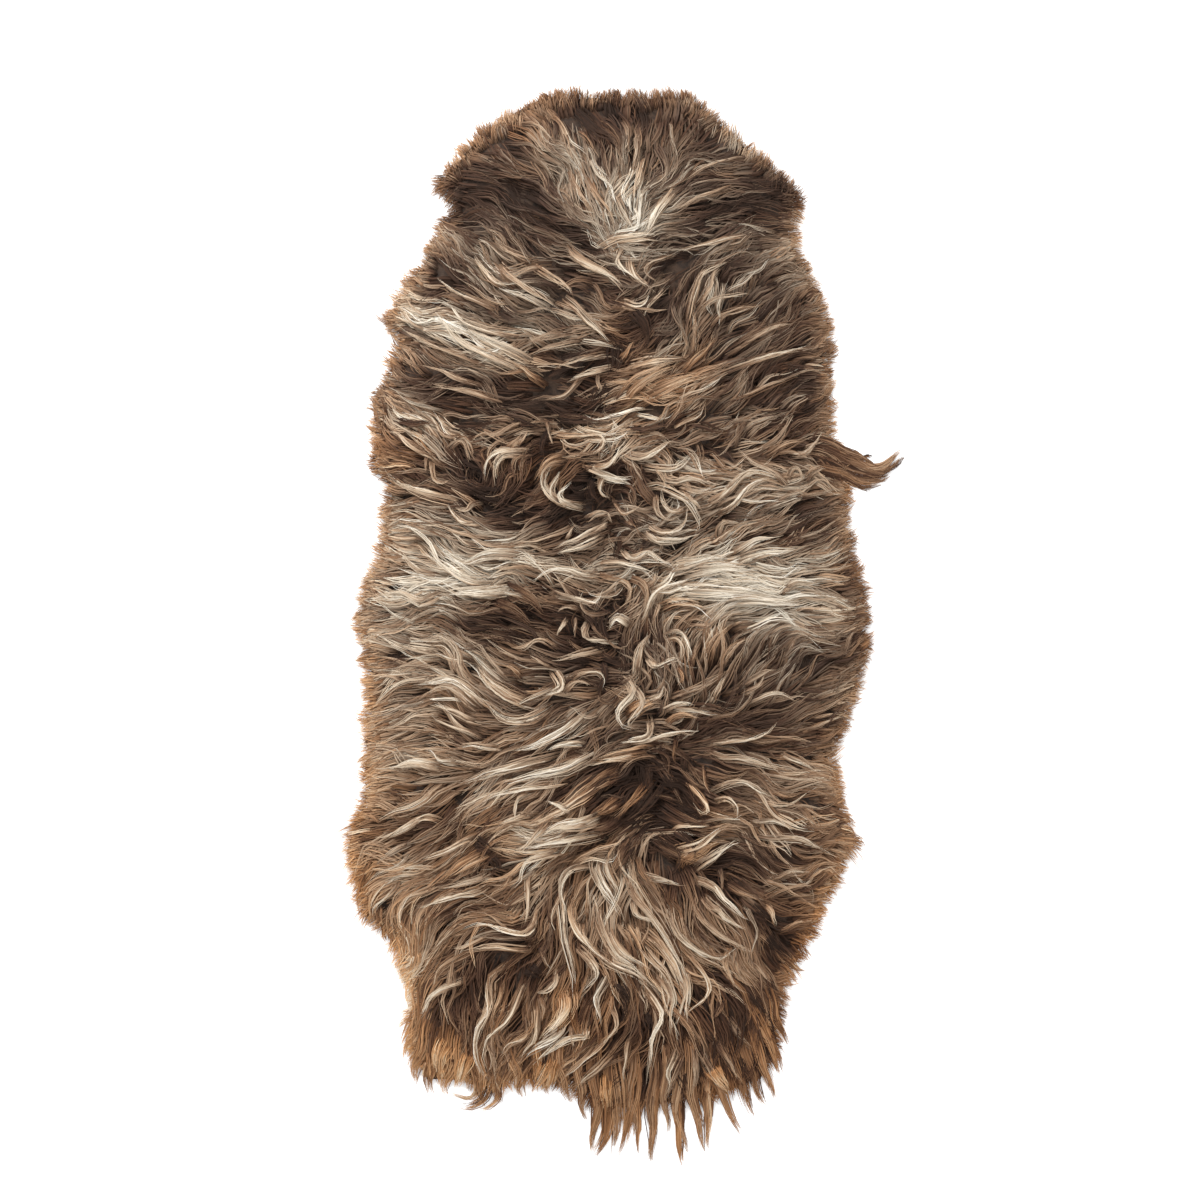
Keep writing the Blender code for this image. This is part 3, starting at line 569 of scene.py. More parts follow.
BACK_STROKES = charted(
    Stroke,
    (3, 0.78, 0.38, (-38, 108, -22, 116, -12, 126)),
    (2.5, 0.74, 0.38, (-38, 128, -24, 134, -13, 132, -7, 122)),
    (3, 0.6, 0.45, (10, 126, 22, 113, 24, 102)),
    (4, 0.76, 0.35, (-11, 119, -80, 91)),
    (4, 0.76, 0.35, (-15, 110, -31, 100, -76, 85)),
    (3, 0.62, 0.35, (-48, 121, -87, 104, -131, 99)),
    (1.5, 0.8, 0.35, (-62, 105, -51, 121)),
    (2.5, 0.78, 0.35, (-11, 133, -28, 130, -38, 122)),
    (5, 0.86, 0.3, (-138, 62, -171, 52, -219, 80, -231, 96)),
    (6, 0.8, 0.3, (-100, 78, -151, 86, -183, 74, -196, 87)),
    (3, 0.7, 0.35, (-208, 60, -237, 64, -264, 91)),
    (7, 0.75, 0.35, (-197, 43, -231, 26, -245, 28, -261, 36, -281, 36, -302, 27)),
    (9, 0.76, 0.3, (-118, 46, -140, 41, -195, 40, -222, 36)),
    (5, 0.85, 0.3, (-11, 61, -43, 61, -61, 68, -81, 68, -108, 50)),
    (3, 0.8, 0.35, (-86, 43, -71, 36, -31, 26, -23, 32, -16, 45)),
    (2, 0.75, 0.35, (-50, 20, -63, 22, -74, 17)),
    (8, 0.4, 0.5, (-140, 47, -122, 40, -104, 28, -88, 12)),
    (8, 0.36, 0.5, (-160, 32, -116, 12, -100, -4)),
    (4, 0.83, 0.35, (4, 82, 20, 81, 35, 88, 63, 68)),
    (3, 0.8, 0.35, (4, 90, 14, 81, 30, 86)),
    (4, 0.76, 0.38, (-38, 68, -11, 74, 13, 72, 47, 60)),
    (4, 0.64, 0.5, (-35, 65, -16, 57, 5, 54, 14, 40, 7, 22)),
    (4, 0.64, 0.5, (10, 56, 25, 51, 33, 37, 29, 18)),
    (3, 0.84, 0.35, (10, -13, 30, 11, 40, 38, 68, 51, 102, 60)),
    (4, 0.7, 0.4, (119, 98, 119, 114, 128, 124, 153, 122)),
    (4, 0.68, 0.42, (106, 95, 123, 103, 144, 123)),
    (5, 0.8, 0.35, (131, 80, 147, 93, 167, 102, 197, 106)),
    (6, 0.82, 0.32, (48, 64, 110, 80, 135, 80)),
    (8, 0.88, 0.3, (64, 56, 99, 67, 133, 69, 172, 66)),
    (6, 0.82, 0.32, (132, 69, 147, 79, 169, 86, 226, 93)),
    (9, 0.9, 0.28, (54, 42, 99, 43, 196, 36)),
    (6, 0.86, 0.3, (101, 11, 119, 24, 147, 31, 231, 23)),
    (4, 0.8, 0.35, (190, 37, 210, 50, 243, 52)),
    (5, 0.66, 0.55, (46, 18, 61, 28, 85, 28, 111, 18)),
    (4, 0.9, 0.35, (12, 1, -1, 9, -8, 6, -13, -5)),
    (3, 0.84, 0.35, (-37, 4, -42, -8, -35, -16, 1, -20)),
    (4, 0.75, 0.38, (20, -66, 25, -27, 34, -15, 38, 0)),
    (3.5, 0.76, 0.38, (50, -16, 61, -9, 73, -9, 81, -22, 84, -39, 78, -51)),
    (2.5, 0.72, 0.4, (54, -20, 64, -14, 74, -20, 76, -34, 70, -46)),
    (3, 0.8, 0.38, (35, -34, 40, -48, 54, -46, 66, -39, 79, -42)),
    (3, 0.6, 0.65, (68, -50, 74, -60, 70, -74)),
    (4, 0.86, 0.35, (-10, -50, 19, -76, -3, -103, 10, -123, 28, -121)),
    (4, 0.82, 0.36, (6, -68, 28, -90, 8, -116, 20, -124)),
    (3.5, 0.82, 0.38, (35, -108, 37, -122, 30, -133, -3, -140)),
    (6, 0.7, 0.7, (12, -107, 28, -94, 48, -86)),
    (3, 0.76, 0.4, (32, -88, 48, -84, 53, -68)),
    (3.5, 0.78, 0.36, (50, -101, 68, -94, 92, -93)),
    (3.5, 0.74, 0.38, (48, -98, 124, -106)),
    (4, 0.6, 0.6, (52, -122, 61, -111, 76, -106, 102, -111)),
    (2.5, 0.74, 0.4, (-8, -142, 30, -138, 76, -126, 96, -128)),
    (3.5, 0.68, 0.38, (55, -90, 100, -72, 130, -52)),
    (3, 0.72, 0.38, (108, -96, 129, -54)),
    (5, 0.64, 0.58, (103, -55, 114, -18, 145, 10)),
    (4, 0.64, 0.5, (120, -54, 126, -38, 140, -22, 160, -12)),
    (3.5, 0.6, 0.5, (85, -50, 100, -14)),
    (3, 0.64, 0.38, (144, -76, 164, -61, 193, -50)),
    (3, 0.7, 0.38, (146, -83, 167, -70, 177, -57)),
    (3, 0.68, 0.36, (148, -98, 171, -85, 195, -82, 221, -92)),
    (2, 0.8, 0.36, (-64, 6, -74, -14)),
    (1.5, 0.76, 0.36, (-52, 6, -52, -14)),
    (4, 0.8, 0.38, (-80, -52, -71, -65, -69, -74, -80, -80, -96, -82)),
    (3.5, 0.7, 0.4, (-62, -76, -55, -62, -42, -55, -25, -55, -17, -65, -19, -80)),
    (3, 0.74, 0.38, (-66, -84, -58, -72, -45, -66, -33, -72)),
    (3, 0.7, 0.4, (-10, -26, -87, -43)),
    (2.5, 0.7, 0.42, (-70, -33, -88, -19, -102, -19, -115, -28, -132, -28)),
    (2, 0.66, 0.4, (-80, -50, -114, -33)),
    (5, 0.76, 0.4, (-150, -84, -186, -60, -196, -24, -221, -11, -248, -31)),
    (3.5, 0.72, 0.42, (-188, -64, -196, -53, -200, -38, -212, -26, -228, -24)),
    (4, 0.66, 0.55, (-117, -62, -127, -50, -143, -45)),
    (6, 0.76, 0.5, (-104, -95, -136, -82, -152, -71, -160, -63, -170, -44)),
)

LOIN_STROKES = charted(
    Stroke,
    (5, 0.78, 0.4, (-73, -90, -98, -108, -115, -113, -131, -113, -144, -107, -170, -76)),
    (5, 0.76, 0.4, (-148, -106, -190, -68, -215, -65, -252, -72)),
    (4, 0.66, 0.42, (-156, -105, -177, -94, -190, -80, -206, -71, -231, -82, -242, -93)),
    (3.5, 0.72, 0.4, (-148, -115, -177, -113, -198, -101, -239, -91)),
    (3, 0.7, 0.4, (-156, -141, -181, -127, -221, -113, -226, -98)),
    (5, 0.86, 0.34, (-30, -90, -56, -119, -94, -140, -115, -147, -138, -149)),
    (2.5, 0.8, 0.36, (-38, -143, -54, -140, -73, -144, -90, -152)),
    (5.5, 0.86, 0.36, (-9, -147, -31, -154, -63, -171, -123, -184, -150, -195)),
    (4.5, 0.78, 0.4, (-50, -186, -115, -194, -144, -200, -167, -210)),
    (6, 0.76, 0.42, (-60, -153, -169, -181, -192, -193)),
    (6, 0.8, 0.42, (-205, -171, -233, -163, -260, -165, -283, -172)),
    (3, 0.85, 0.36, (-188, -165, -215, -161, -223, -152, -239, -149)),
    (3.5, 0.72, 0.4, (-134, -147, -181, -142, -196, -149)),
    (5.5, 0.7, 0.5, (-204, -185, -223, -196, -233, -209, -275, -225, -298, -239)),
    (4, 0.66, 0.5, (-208, -236, -225, -229, -240, -231, -258, -243)),
    (2, 0.82, 0.38, (-104, -202, -117, -203, -123, -214, -123, -234)),
    (3, 0.76, 0.45, (-100, -225, -123, -229, -152, -241)),
    (4, 0.9, 0.35, (-58, -221, -89, -208)),
    (8, 0.66, 0.6, (-14, -180, -67, -217, -86, -225, -95, -241)),
    (6, 0.82, 0.42, (-20, -227, -42, -235, -73, -240, -98, -250)),
    (3, 0.74, 0.4, (104, -142, 157, -135, 181, -125, 191, -110)),
    (3.5, 0.7, 0.36, (98, -146, 119, -157, 147, -159, 195, -171, 221, -173)),
    (3.5, 0.68, 0.38, (193, -150, 243, -177)),
    (3, 0.74, 0.36, (105, -201, 143, -185, 185, -208)),
    (3, 0.64, 0.38, (148, -177, 239, -188, 255, -194)),
    (2.5, 0.72, 0.6, (69, -180, 88, -193, 107, -219, 100, -226, 90, -217, 87, -198)),
    (1.5, 0.55, 0.6, (102, -172, 103, -190, 109, -201)),
    (3, 0.76, 0.5, (114, -210, 126, -205, 138, -216, 141, -231)),
    (5, 0.46, 0.7, (44, -178, 11, -214, -2, -234)),
    (5, 0.6, 0.6, (46, -151, 28, -147, -37, -160)),
    (3.5, 0.72, 0.5, (30, -152, -45, -166)),
    (8, 0.42, 0.6, (10, -172, -12, -178, -58, -212)),
    (6, 0.5, 0.65, (6, -204, -36, -230)),
    (1.5, 0.5, 0.6, (68, -132, 66, -150, 69, -167)),
)

RUMP_STROKES = charted(
    Stroke,
    (3.5, 0.76, 0.5, (-152, -241, -221, -274, -235, -277, -250, -290)),
    (4, 0.74, 0.45, (-228, -231, -242, -234, -271, -251, -293, -254)),
    (3, 0.66, 0.35, (-250, -259, -282, -277, -290, -287)),
    (3.5, 0.66, 0.45, (-264, -299, -265, -310, -292, -337, -293, -348, -288, -359)),
    (3.5, 0.68, 0.5, (-203, -301, -226, -317, -253, -326, -264, -348, -280, -349)),
    (3.5, 0.72, 0.4, (-145, -290, -170, -304, -221, -315)),
    (4, 0.76, 0.45, (-143, -299, -168, -317, -203, -324, -235, -337, -248, -335)),
    (7, 0.58, 0.65, (-148, -265, -192, -290, -215, -310)),
    (4, 0.78, 0.45, (-75, -223, -101, -254, -126, -274, -132, -283)),
    (4.5, 0.84, 0.4, (-11, -248, -107, -265, -123, -272)),
    (3, 0.88, 0.35, (-60, -248, -98, -263)),
    (5, 0.82, 0.42, (-54, -265, -110, -279, -118, -301, -132, -318)),
    (3.5, 0.72, 0.45, (-106, -286, -112, -308, -109, -321, -114, -362)),
    (4, 0.76, 0.5, (-98, -317, -98, -344, -109, -366, -134, -364, -161, -355, -190, -362, -199, -368)),
    (3, 0.68, 0.5, (-93, -387, -161, -382, -183, -391, -195, -389)),
    (3, 0.64, 0.45, (-154, -366, -181, -381, -204, -384)),
    (3.5, 0.62, 0.55, (-163, -382, -212, -409, -226, -447)),
    (3, 0.6, 0.5, (-186, -353, -199, -362, -219, -386, -235, -395)),
    (5, 0.78, 0.5, (-112, -395, -148, -410, -158, -436, -152, -459, -168, -477, -173, -511, -160, -543,
     -145, -556)),
    (3.5, 0.7, 0.48, (-89, -404, -108, -419, -133, -472, -156, -490, -163, -516, -152, -550)),
    (3, 0.74, 0.45, (-73, -406, -74, -420, -80, -431, -89, -438, -99, -439)),
    (2.5, 0.66, 0.45, (-92, -386, -83, -411)),
    (4.5, 0.78, 0.4, (-56, -299, -69, -321, -69, -348, -65, -382, -56, -411, -54, -445)),
    (5, 0.72, 0.4, (-11, -288, -54, -288, -71, -312, -64, -344, -75, -364)),
    (5, 0.72, 0.55, (-31, -306, -56, -330, -53, -357, -33, -384, 0, -413)),
    (3, 0.7, 0.5, (-45, -353, -45, -366, -36, -380, -24, -389)),
    (3.5, 0.7, 0.45, (-60, -375, -38, -395, -27, -418, -45, -436, -49, -447)),
    (5, 0.82, 0.35, (-21, -272, -28, -290, 6, -352)),
    (4, 0.74, 0.38, (-3, -274, -12, -277, -15, -288, 2, -326)),
    (5, 0.78, 0.45, (15, -265, 8, -290, 17, -321, 39, -344, 71, -397, 82, -424, 82, -442)),
    (5, 0.74, 0.45, (-21, -312, -28, -337, -19, -366, -6, -391, 21, -411, 55, -447)),
    (4, 0.7, 0.5, (-12, -337, -10, -366, 10, -393, 39, -411, 50, -425)),
    (3.5, 0.78, 0.42, (17, -326, 21, -344, 46, -355)),
    (6, 0.76, 0.55, (17, -355, 39, -371, 59, -393, 73, -422, 75, -442)),
    (5, 0.72, 0.5, (19, -375, 55, -416, 62, -429, 64, -445)),
    (5, 0.8, 0.45, (-35, -384, -6, -404, 26, -418, 35, -447)),
    (4, 0.78, 0.4, (59, -308, 58, -344, 71, -373, 97, -391, 124, -400, 142, -380)),
    (4, 0.7, 0.5, (84, -306, 91, -337, 111, -362, 156, -389, 174, -393)),
    (3, 0.8, 0.4, (26, -297, 82, -311)),
    (3.5, 0.76, 0.4, (86, -302, 113, -310, 124, -326, 156, -353)),
    (4, 0.76, 0.42, (100, -321, 111, -333, 122, -339, 127, -348, 140, -357, 158, -363)),
    (2.5, 0.62, 0.4, (120, -292, 124, -318)),
    (5, 0.8, 0.55, (57, -279, 68, -270, 100, -259, 122, -239, 136, -239)),
    (2.5, 0.74, 0.45, (64, -250, 66, -243, 75, -239, 109, -239)),
    (4, 0.7, 0.4, (88, -295, 95, -286, 136, -259, 149, -254)),
    (6, 0.62, 0.7, (77, -295, 73, -286, 82, -277, 131, -252)),
    (3, 0.66, 0.32, (151, -230, 167, -234, 189, -234, 218, -248)),
    (3.5, 0.66, 0.36, (149, -245, 180, -252, 216, -254, 263, -279)),
    (3, 0.66, 0.4, (167, -292, 176, -299, 189, -301, 212, -293, 247, -296)),
    (3, 0.58, 0.5, (156, -335, 218, -309, 234, -328, 230, -337)),
    (3, 0.78, 0.55, (176, -335, 182, -340, 186, -362)),
    (3, 0.64, 0.6, (185, -363, 200, -362, 212, -355, 247, -353)),
    (3, 0.62, 0.6, (136, -375, 127, -400, 131, -418, 142, -431, 151, -433)),
    (2.5, 0.64, 0.5, (142, -378, 138, -393, 140, -411, 162, -433)),
    (2.5, 0.6, 0.5, (156, -402, 167, -409, 185, -433)),
    (3, 0.54, 0.7, (198, -398, 214, -411, 230, -418)),
    (9, 0.3, 0.5, (30, -236, 55, -262, 122, -288)),
    (9, 0.28, 0.5, (44, -214, 70, -232, 126, -248)),
    (8, 0.3, 0.5, (120, -300, 160, -322, 182, -330)),
    (8, 0.3, 0.5, (20, -250, -4, -290, -10, -312)),
)

TAIL_STROKES = charted(
    Stroke,
    (4, 0.76, 0.45, (-179, -421, -223, -442, -241, -478)),
    (5, 0.62, 0.6, (-141, -421, -147, -451, -156, -474)),
    (2.5, 0.66, 0.48, (-154, -488, -156, -497, -149, -520, -152, -530, -160, -535)),
    (3, 0.62, 0.5, (-112, -459, -108, -486, -120, -496, -133, -501, -148, -520)),
    (9, 0.86, 0.75, (-64, -430, -60, -446, -62, -463, -95, -497)),
    (3.5, 0.72, 0.5, (-102, -442, -99, -459, -101, -494, -114, -505, -118, -526)),
    (2.5, 0.7, 0.5, (-95, -444, -91, -459, -93, -474)),
    (5, 0.84, 0.3, (-66, -471, -68, -484, -108, -509, -114, -517)),
    (4.5, 0.82, 0.5, (-49, -472, -37, -488, -66, -495, -104, -526)),
    (2, 0.68, 0.45, (-58, -478, -55, -509)),
    (5, 0.62, 0.55, (-9, -478, -18, -494, -70, -544, -74, -555)),
    (3.5, 0.6, 0.5, (1, -501, -64, -565)),
    (10, 0.80, 0.95, (-205, -494, -214, -512, -216, -528, -212, -544)),
    (9, 0.78, 0.95, (-178, -512, -196, -560)),
    (9, 0.80, 0.95, (-85, -520, -106, -560)),
    (8, 0.74, 0.9, (-74, -515, -83, -550, -82, -562)),
    (8, 0.80, 0.95, (110, -525, 134, -562)),
    (7, 0.74, 0.9, (-14, -535, -14, -592)),
    (3, 0.7, 0.7, (-172, -540, -170, -555, -177, -566, -191, -566, -204, -560)),
    (5, 0.46, 0.8, (-156, -550, -162, -566, -175, -575, -187, -577, -198, -572)),
    (3, 0.62, 0.8, (-146, -552, -145, -564, -150, -573, -168, -583)),
    (4, 0.74, 0.32, (-8, -413, -25, -438, -27, -451, -21, -478)),
    (3.5, 0.66, 0.5, (-10, -434, -11, -449, -2, -474, -8, -486, -35, -509)),
    (4.5, 0.78, 0.45, (0, -413, 25, -424, 54, -467, 38, -486, 40, -509, 32, -540, 34, -553)),
    (3, 0.7, 0.45, (23, -428, 32, -451, 31, -465)),
    (3, 0.7, 0.55, (71, -378, 109, -431, 74, -468)),
    (3.5, 0.74, 0.45, (73, -402, 80, -417, 82, -432, 80, -475)),
    (4, 0.74, 0.45, (61, -402, 77, -430, 77, -446, 63, -484)),
    (4, 0.72, 0.42, (48, -402, 57, -417, 67, -448, 63, -463, 63, -488)),
    (4, 0.7, 0.45, (40, -413, 57, -440, 57, -467)),
    (3, 0.58, 0.5, (17, -486, 9, -501, 4, -555)),
    (3.5, 0.66, 0.45, (73, -497, 59, -532, 61, -547, 50, -572)),
    (3, 0.58, 0.5, (79, -509, 52, -574)),
    (3, 0.58, 0.42, (88, -497, 92, -536, 84, -568)),
    (3.5, 0.56, 0.42, (90, -494, 125, -563, 127, -578)),
    (4, 0.52, 0.55, (111, -490, 150, -553)),
    (3.5, 0.48, 0.42, (128, -467, 159, -509)),
    (2.5, 0.52, 0.55, (123, -450, 119, -461, 111, -470)),
)

# Painted shade: dark strokes laid over the coat along its creases and along the break across the shoulders,
# where overhanging locks would shade the hollows.
CREASE_SHADE_STROKES = charted(
    Stroke,
    (5, 0.2, 0.4, (-276, 250, -250, 244, -226, 243, -204, 236)),
    (5, 0.18, 0.4, (-200, 240, -172, 240, -128, 246)),
    (5, 0.16, 0.4, (-132, 244, -92, 232, -80, 222)),
    (5, 0.18, 0.4, (-78, 250, -4, 238)),
    (4, 0.2, 0.4, (0, 242, 24, 236, 50, 240, 76, 238)),
    (4, 0.24, 0.4, (84, 240, 140, 228)),
    (9, 0.08, 0.4, (2, 382, 20, 370, 30, 352, 32, 336, 24, 318)),
    (6, 0.06, 0.4, (14, 374, 27, 360, 33, 342)),
    (9, 0.08, 0.4, (0, 338, -4, 314, -14, 290)),
    (9, 0.08, 0.4, (-10, 298, -30, 264, -56, 248)),
    (5, 0.16, 0.4, (-84, 240, -94, 212, -92, 196)),
    (5, 0.18, 0.4, (-30, 176, -36, 164, -20, 140)),
    (5, 0.18, 0.4, (-186, 200, -172, 190, -158, 186)),
    (5, 0.18, 0.4, (-10, 112, 0, 100, -6, 84, -2, 70)),
    (6, 0.16, 0.4, (-16, 20, -22, 4, -10, -30)),
    (6, 0.14, 0.4, (-20, -40, -14, -58, -22, -76, -16, -92)),
    (8, 0.1, 0.4, (36, -150, 30, -174, 34, -198, 44, -224)),
    (9, 0.1, 0.4, (50, -186, 38, -204, 2, -240)),
    (7, 0.14, 0.4, (56, -240, 76, -252, 92, -268, 88, -290)),
    (8, 0.1, 0.4, (176, -370, 200, -398)),
    (6, 0.16, 0.4, (160, -338, 186, -352)),
    (7, 0.26, 0.4, (-172, -256, -146, -270)),
    (6, 0.22, 0.4, (-152, -276, -144, -286, -152, -296)),
    (6, 0.16, 0.4, (-108, -408, -92, -424)),
    (6, 0.18, 0.4, (0, -426, 10, -440, 6, -456)),
    (6, 0.2, 0.4, (30, -460, 38, -474, 30, -488)),
)

HIND_LOCKS = charted(
    Stroke,
    (8, 0.4, 0.8, (-222, -455, -233, -480, -236, -508, -246, -530, -244, -552)),
    (7, 0.36, 0.8, (-205, -460, -216, -490, -220, -520, -230, -545, -226, -566)),
    (7, 0.42, 0.85, (-190, -470, -198, -500, -200, -530, -210, -552, -206, -566)),
    (7, 0.38, 0.8, (-172, -475, -176, -510, -166, -540, -168, -562, -158, -580)),
    (7, 0.36, 0.75, (-150, -480, -154, -515, -144, -545, -146, -562, -138, -575)),
    (7, 0.4, 0.8, (-125, -480, -128, -510, -116, -538, -118, -556, -112, -569)),
    (7, 0.44, 0.85, (-95, -480, -100, -512, -84, -564)),
    (7, 0.4, 0.75, (-66, -470, -76, -512, -64, -545, -66, -562, -56, -576)),
    (7, 0.34, 0.7, (-40, -478, -50, -520, -40, -560, -46, -580, -38, -598)),
    (6, 0.36, 0.75, (-26, -480, -34, -530, -24, -575, -34, -608, -31, -636)),
    (6, 0.38, 0.85, (-14, -540, -16, -603, -29, -640)),
    (6, 0.34, 0.7, (-4, -480, -12, -530, -4, -570, -4, -613, -8, -637)),
    (5, 0.4, 0.8, (18, -500, 20, -550, 9, -609, -4, -639)),
    (8, 0.36, 0.75, (2, -490, 0, -520, 8, -582, 2, -612)),
    (6, 0.34, 0.65, (14, -475, 20, -520, 14, -560, 20, -600, 16, -622)),
    (3, 0.42, 0.85, (22, -540, 25, -594, 21, -617, 25, -636)),
    (6, 0.34, 0.65, (34, -475, 44, -530, 38, -575, 41, -622, 36, -651)),
    (4, 0.4, 0.8, (46, -520, 38, -642)),
    (6, 0.36, 0.65, (52, -475, 60, -520, 54, -560, 62, -595, 58, -612)),
    (6, 0.34, 0.65, (64, -480, 76, -530, 70, -575, 84, -640)),
    (4, 0.42, 0.85, (70, -560, 72, -610, 78, -650)),
    (7, 0.36, 0.7, (80, -470, 90, -515, 86, -555, 98, -590, 98, -610, 104, -636)),
    (5, 0.38, 0.75, (98, -500, 107, -574, 105, -617, 109, -632)),
    (6, 0.36, 0.75, (98, -470, 112, -515, 118, -550, 148, -615)),
    (7, 0.36, 0.75, (116, -465, 155, -574, 165, -592)),
    (7, 0.34, 0.75, (136, -455, 167, -555, 180, -577)),
    (6, 0.36, 0.8, (150, -470, 186, -573)),
    (7, 0.36, 0.8, (154, -440, 172, -475, 198, -540)),
    (7, 0.38, 0.8, (168, -420, 182, -450, 186, -476, 205, -507)),
)

TUFT_LOCKS = charted(
    Stroke,
    (8, 0.26, 0.55, (214, 224, 262, 208, 308, 187, 326, 190, 341, 206)),
    (8, 0.24, 0.55, (218, 206, 244, 202, 290, 183, 312, 180, 330, 188)),
    (7, 0.28, 0.6, (222, 190, 246, 188, 306, 168, 319, 172)),
    (5, 0.32, 0.6, (230, 180, 252, 180, 268, 176, 286, 166, 308, 163)),
    (6, 0.34, 0.55, (216, 232, 262, 218, 300, 198, 314, 195)),
    (4, 0.2, 0.55, (236, 200, 262, 196, 304, 183, 320, 184, 334, 195, 343, 209)),
    (3, 0.44, 0.6, (232, 214, 262, 207, 310, 185, 328, 191, 338, 203)),
    (4, 0.46, 0.6, (258, 206, 272, 209, 283, 200, 296, 190, 310, 191, 318, 197, 332, 204, 346, 212)),
    (4, 0.4, 0.6, (262, 200, 284, 188, 306, 185, 318, 190, 328, 198, 340, 207)),
    (4, 0.36, 0.55, (254, 186, 280, 178, 304, 174, 317, 177, 325, 184)),
    (2, 0.4, 0.6, (290, 196, 297, 201, 303, 200)),
)

LOBES = SoftNoise(SEED + 5, 0.060)
SMALL_LOBES = SoftNoise(SEED + 6, 0.028)
RELIEF = PatchField(RELIEF_CHART)


@dataclass(frozen=True)
class Comb:
    """The way the wool lies over the whole skin, blended from the charted lies.

    The line of the wool is blended apart from which end of it is the tip, so opposed lies don't
    swirl. The break across the skin parts the blend: wool on one side doesn't follow the other.
    """

    softness: float = 0.014
    falloff: float = 1.7
    break_y: float = 0.238
    across_break: float = 0.02
    neck_focus: tuple = (0.015, 0.430)
    neck_start: float = 0.465
    fan_start: float = -0.180
    fan_pull: float = 1.3
    spine_y: tuple = (-0.55, -0.30, -0.20, -0.10, 0.0, 0.10, 0.20, 0.26, 0.34, 0.44, 0.64)
    spine_x: tuple = (0.00, 0.00, 0.038, 0.010, 0.0, 0.005, 0.0, 0.0, 0.020, 0.015, 0.0)

    def spine(self, y: np.ndarray) -> np.ndarray:
        """Find the parting along the back.

        Args:
            y: stations along the skin.

        Returns:
            Where the parting is across the skin.
        """
        return np.interp(y, self.spine_y, self.spine_x)

    def line(self, x: np.ndarray, y: np.ndarray, above: np.ndarray) -> np.ndarray:
        """Read the line along which the wool lies.

        Args:
            x: places across the skin.
            y: places along the skin.
            above: whether the wool grows on the neck side of the break.

        Returns:
            The line's angle at each place in radians, which may be half a turn from the tips.
        """
        places = np.array([(lie.x * MM, lie.y * MM) for lie in COMB_CHART])
        angles = np.radians([lie.angle for lie in COMB_CHART])
        gap = (x[..., None] - places[:, 0]) ** 2 + (y[..., None] - places[:, 1]) ** 2
        weight = (gap + self.softness**2) ** -self.falloff
        weight = weight * np.where((places[:, 1] > self.break_y) == above[..., None], 1.0, self.across_break)
        ahead = (weight * np.cos(2.0 * angles)).sum(axis=-1)
        aside = (weight * np.sin(2.0 * angles)).sum(axis=-1)
        return 0.5 * np.arctan2(aside, ahead)

    def way(self, x: np.ndarray, y: np.ndarray) -> np.ndarray:
        """Read the lie of the wool, root to tip.

        Args:
            x: places across the skin.
            y: places along the skin.

        Returns:
            The direction from root to tip at each place in radians.
        """
        angle = self.line(x, y, y > self.break_y)
        out_x = x - self.spine(y)
        out_y = self.fan_pull * np.minimum(y - self.fan_start, 0.0)
        neck = y > self.neck_start
        out_x = np.where(neck, self.neck_focus[0] - x, out_x)
        out_y = np.where(neck, self.neck_focus[1] - y, out_y)
        backward = np.cos(angle) * out_x + np.sin(angle) * out_y < 0.0
        return angle + math.pi * backward


@dataclass(frozen=True)
class Pile:
    """The wool's outline seen from above, and the height of its top over the surface."""

    edge_height: float = 0.0015
    rim_height: float = 0.007
    rim_width: float = 0.013
    crown: float = 0.033
    rise: float = 0.045
    lobe_height: float = 0.0045

    def ends(self, y: np.ndarray) -> tuple:
        """Find the wool's left and right ends.

        Args:
            y: stations along the skin.

        Returns:
            The left ends and the right ends.
        """
        stations = np.array([station.y for station in reversed(STATIONS)]) * MM
        lefts = np.array([station.left for station in reversed(STATIONS)]) * MM
        rights = np.array([station.right for station in reversed(STATIONS)]) * MM
        return np.interp(y, stations, lefts), np.interp(y, stations, rights)

    def depth(self, x: np.ndarray, y: np.ndarray) -> np.ndarray:
        """Measure how far places are inside the outline.

        Args:
            x: places across the skin.
            y: places along the skin.

        Returns:
            The distance to the nearest end of the wool, negative outside.
        """
        left, right = self.ends(y)
        to_side = np.minimum(x - left, right - x)
        places = np.array([end.x for end in TAIL_ENDS]) * MM
        reaches = np.array([end.y for end in TAIL_ENDS]) * MM
        to_end = np.minimum(NECK_END_Y - y, y - np.interp(x, places, reaches))
        return np.minimum(to_side, to_end)

    def height(self, x: np.ndarray, y: np.ndarray) -> np.ndarray:
        """Measure the pile.

        Args:
            x: places across the skin.
            y: places along the skin.

        Returns:
            The height of the wool's top over the surface.
        """
        depth = self.depth(x, y)
        slope = np.clip(depth / self.rim_width, 0.0, 1.0)
        low = self.edge_height + (self.rim_height - self.edge_height) * slope
        inward = np.clip(depth - self.rim_width, 0.0, None)
        full = 1.0 - np.exp(-inward / self.rise)
        lobes = self.lobe_height * (LOBES.at(x, y) + 0.6 * SMALL_LOBES.at(x, y))
        return low + (self.crown - self.rim_height) * full + (lobes + RELIEF.at(x, y) * MM) * full


class Layer(Enum):
    """Where a lock lies in the coat."""

    UNDER = "under"
    OUTER = "outer"
    RIM = "rim"
    PLACED = "placed"


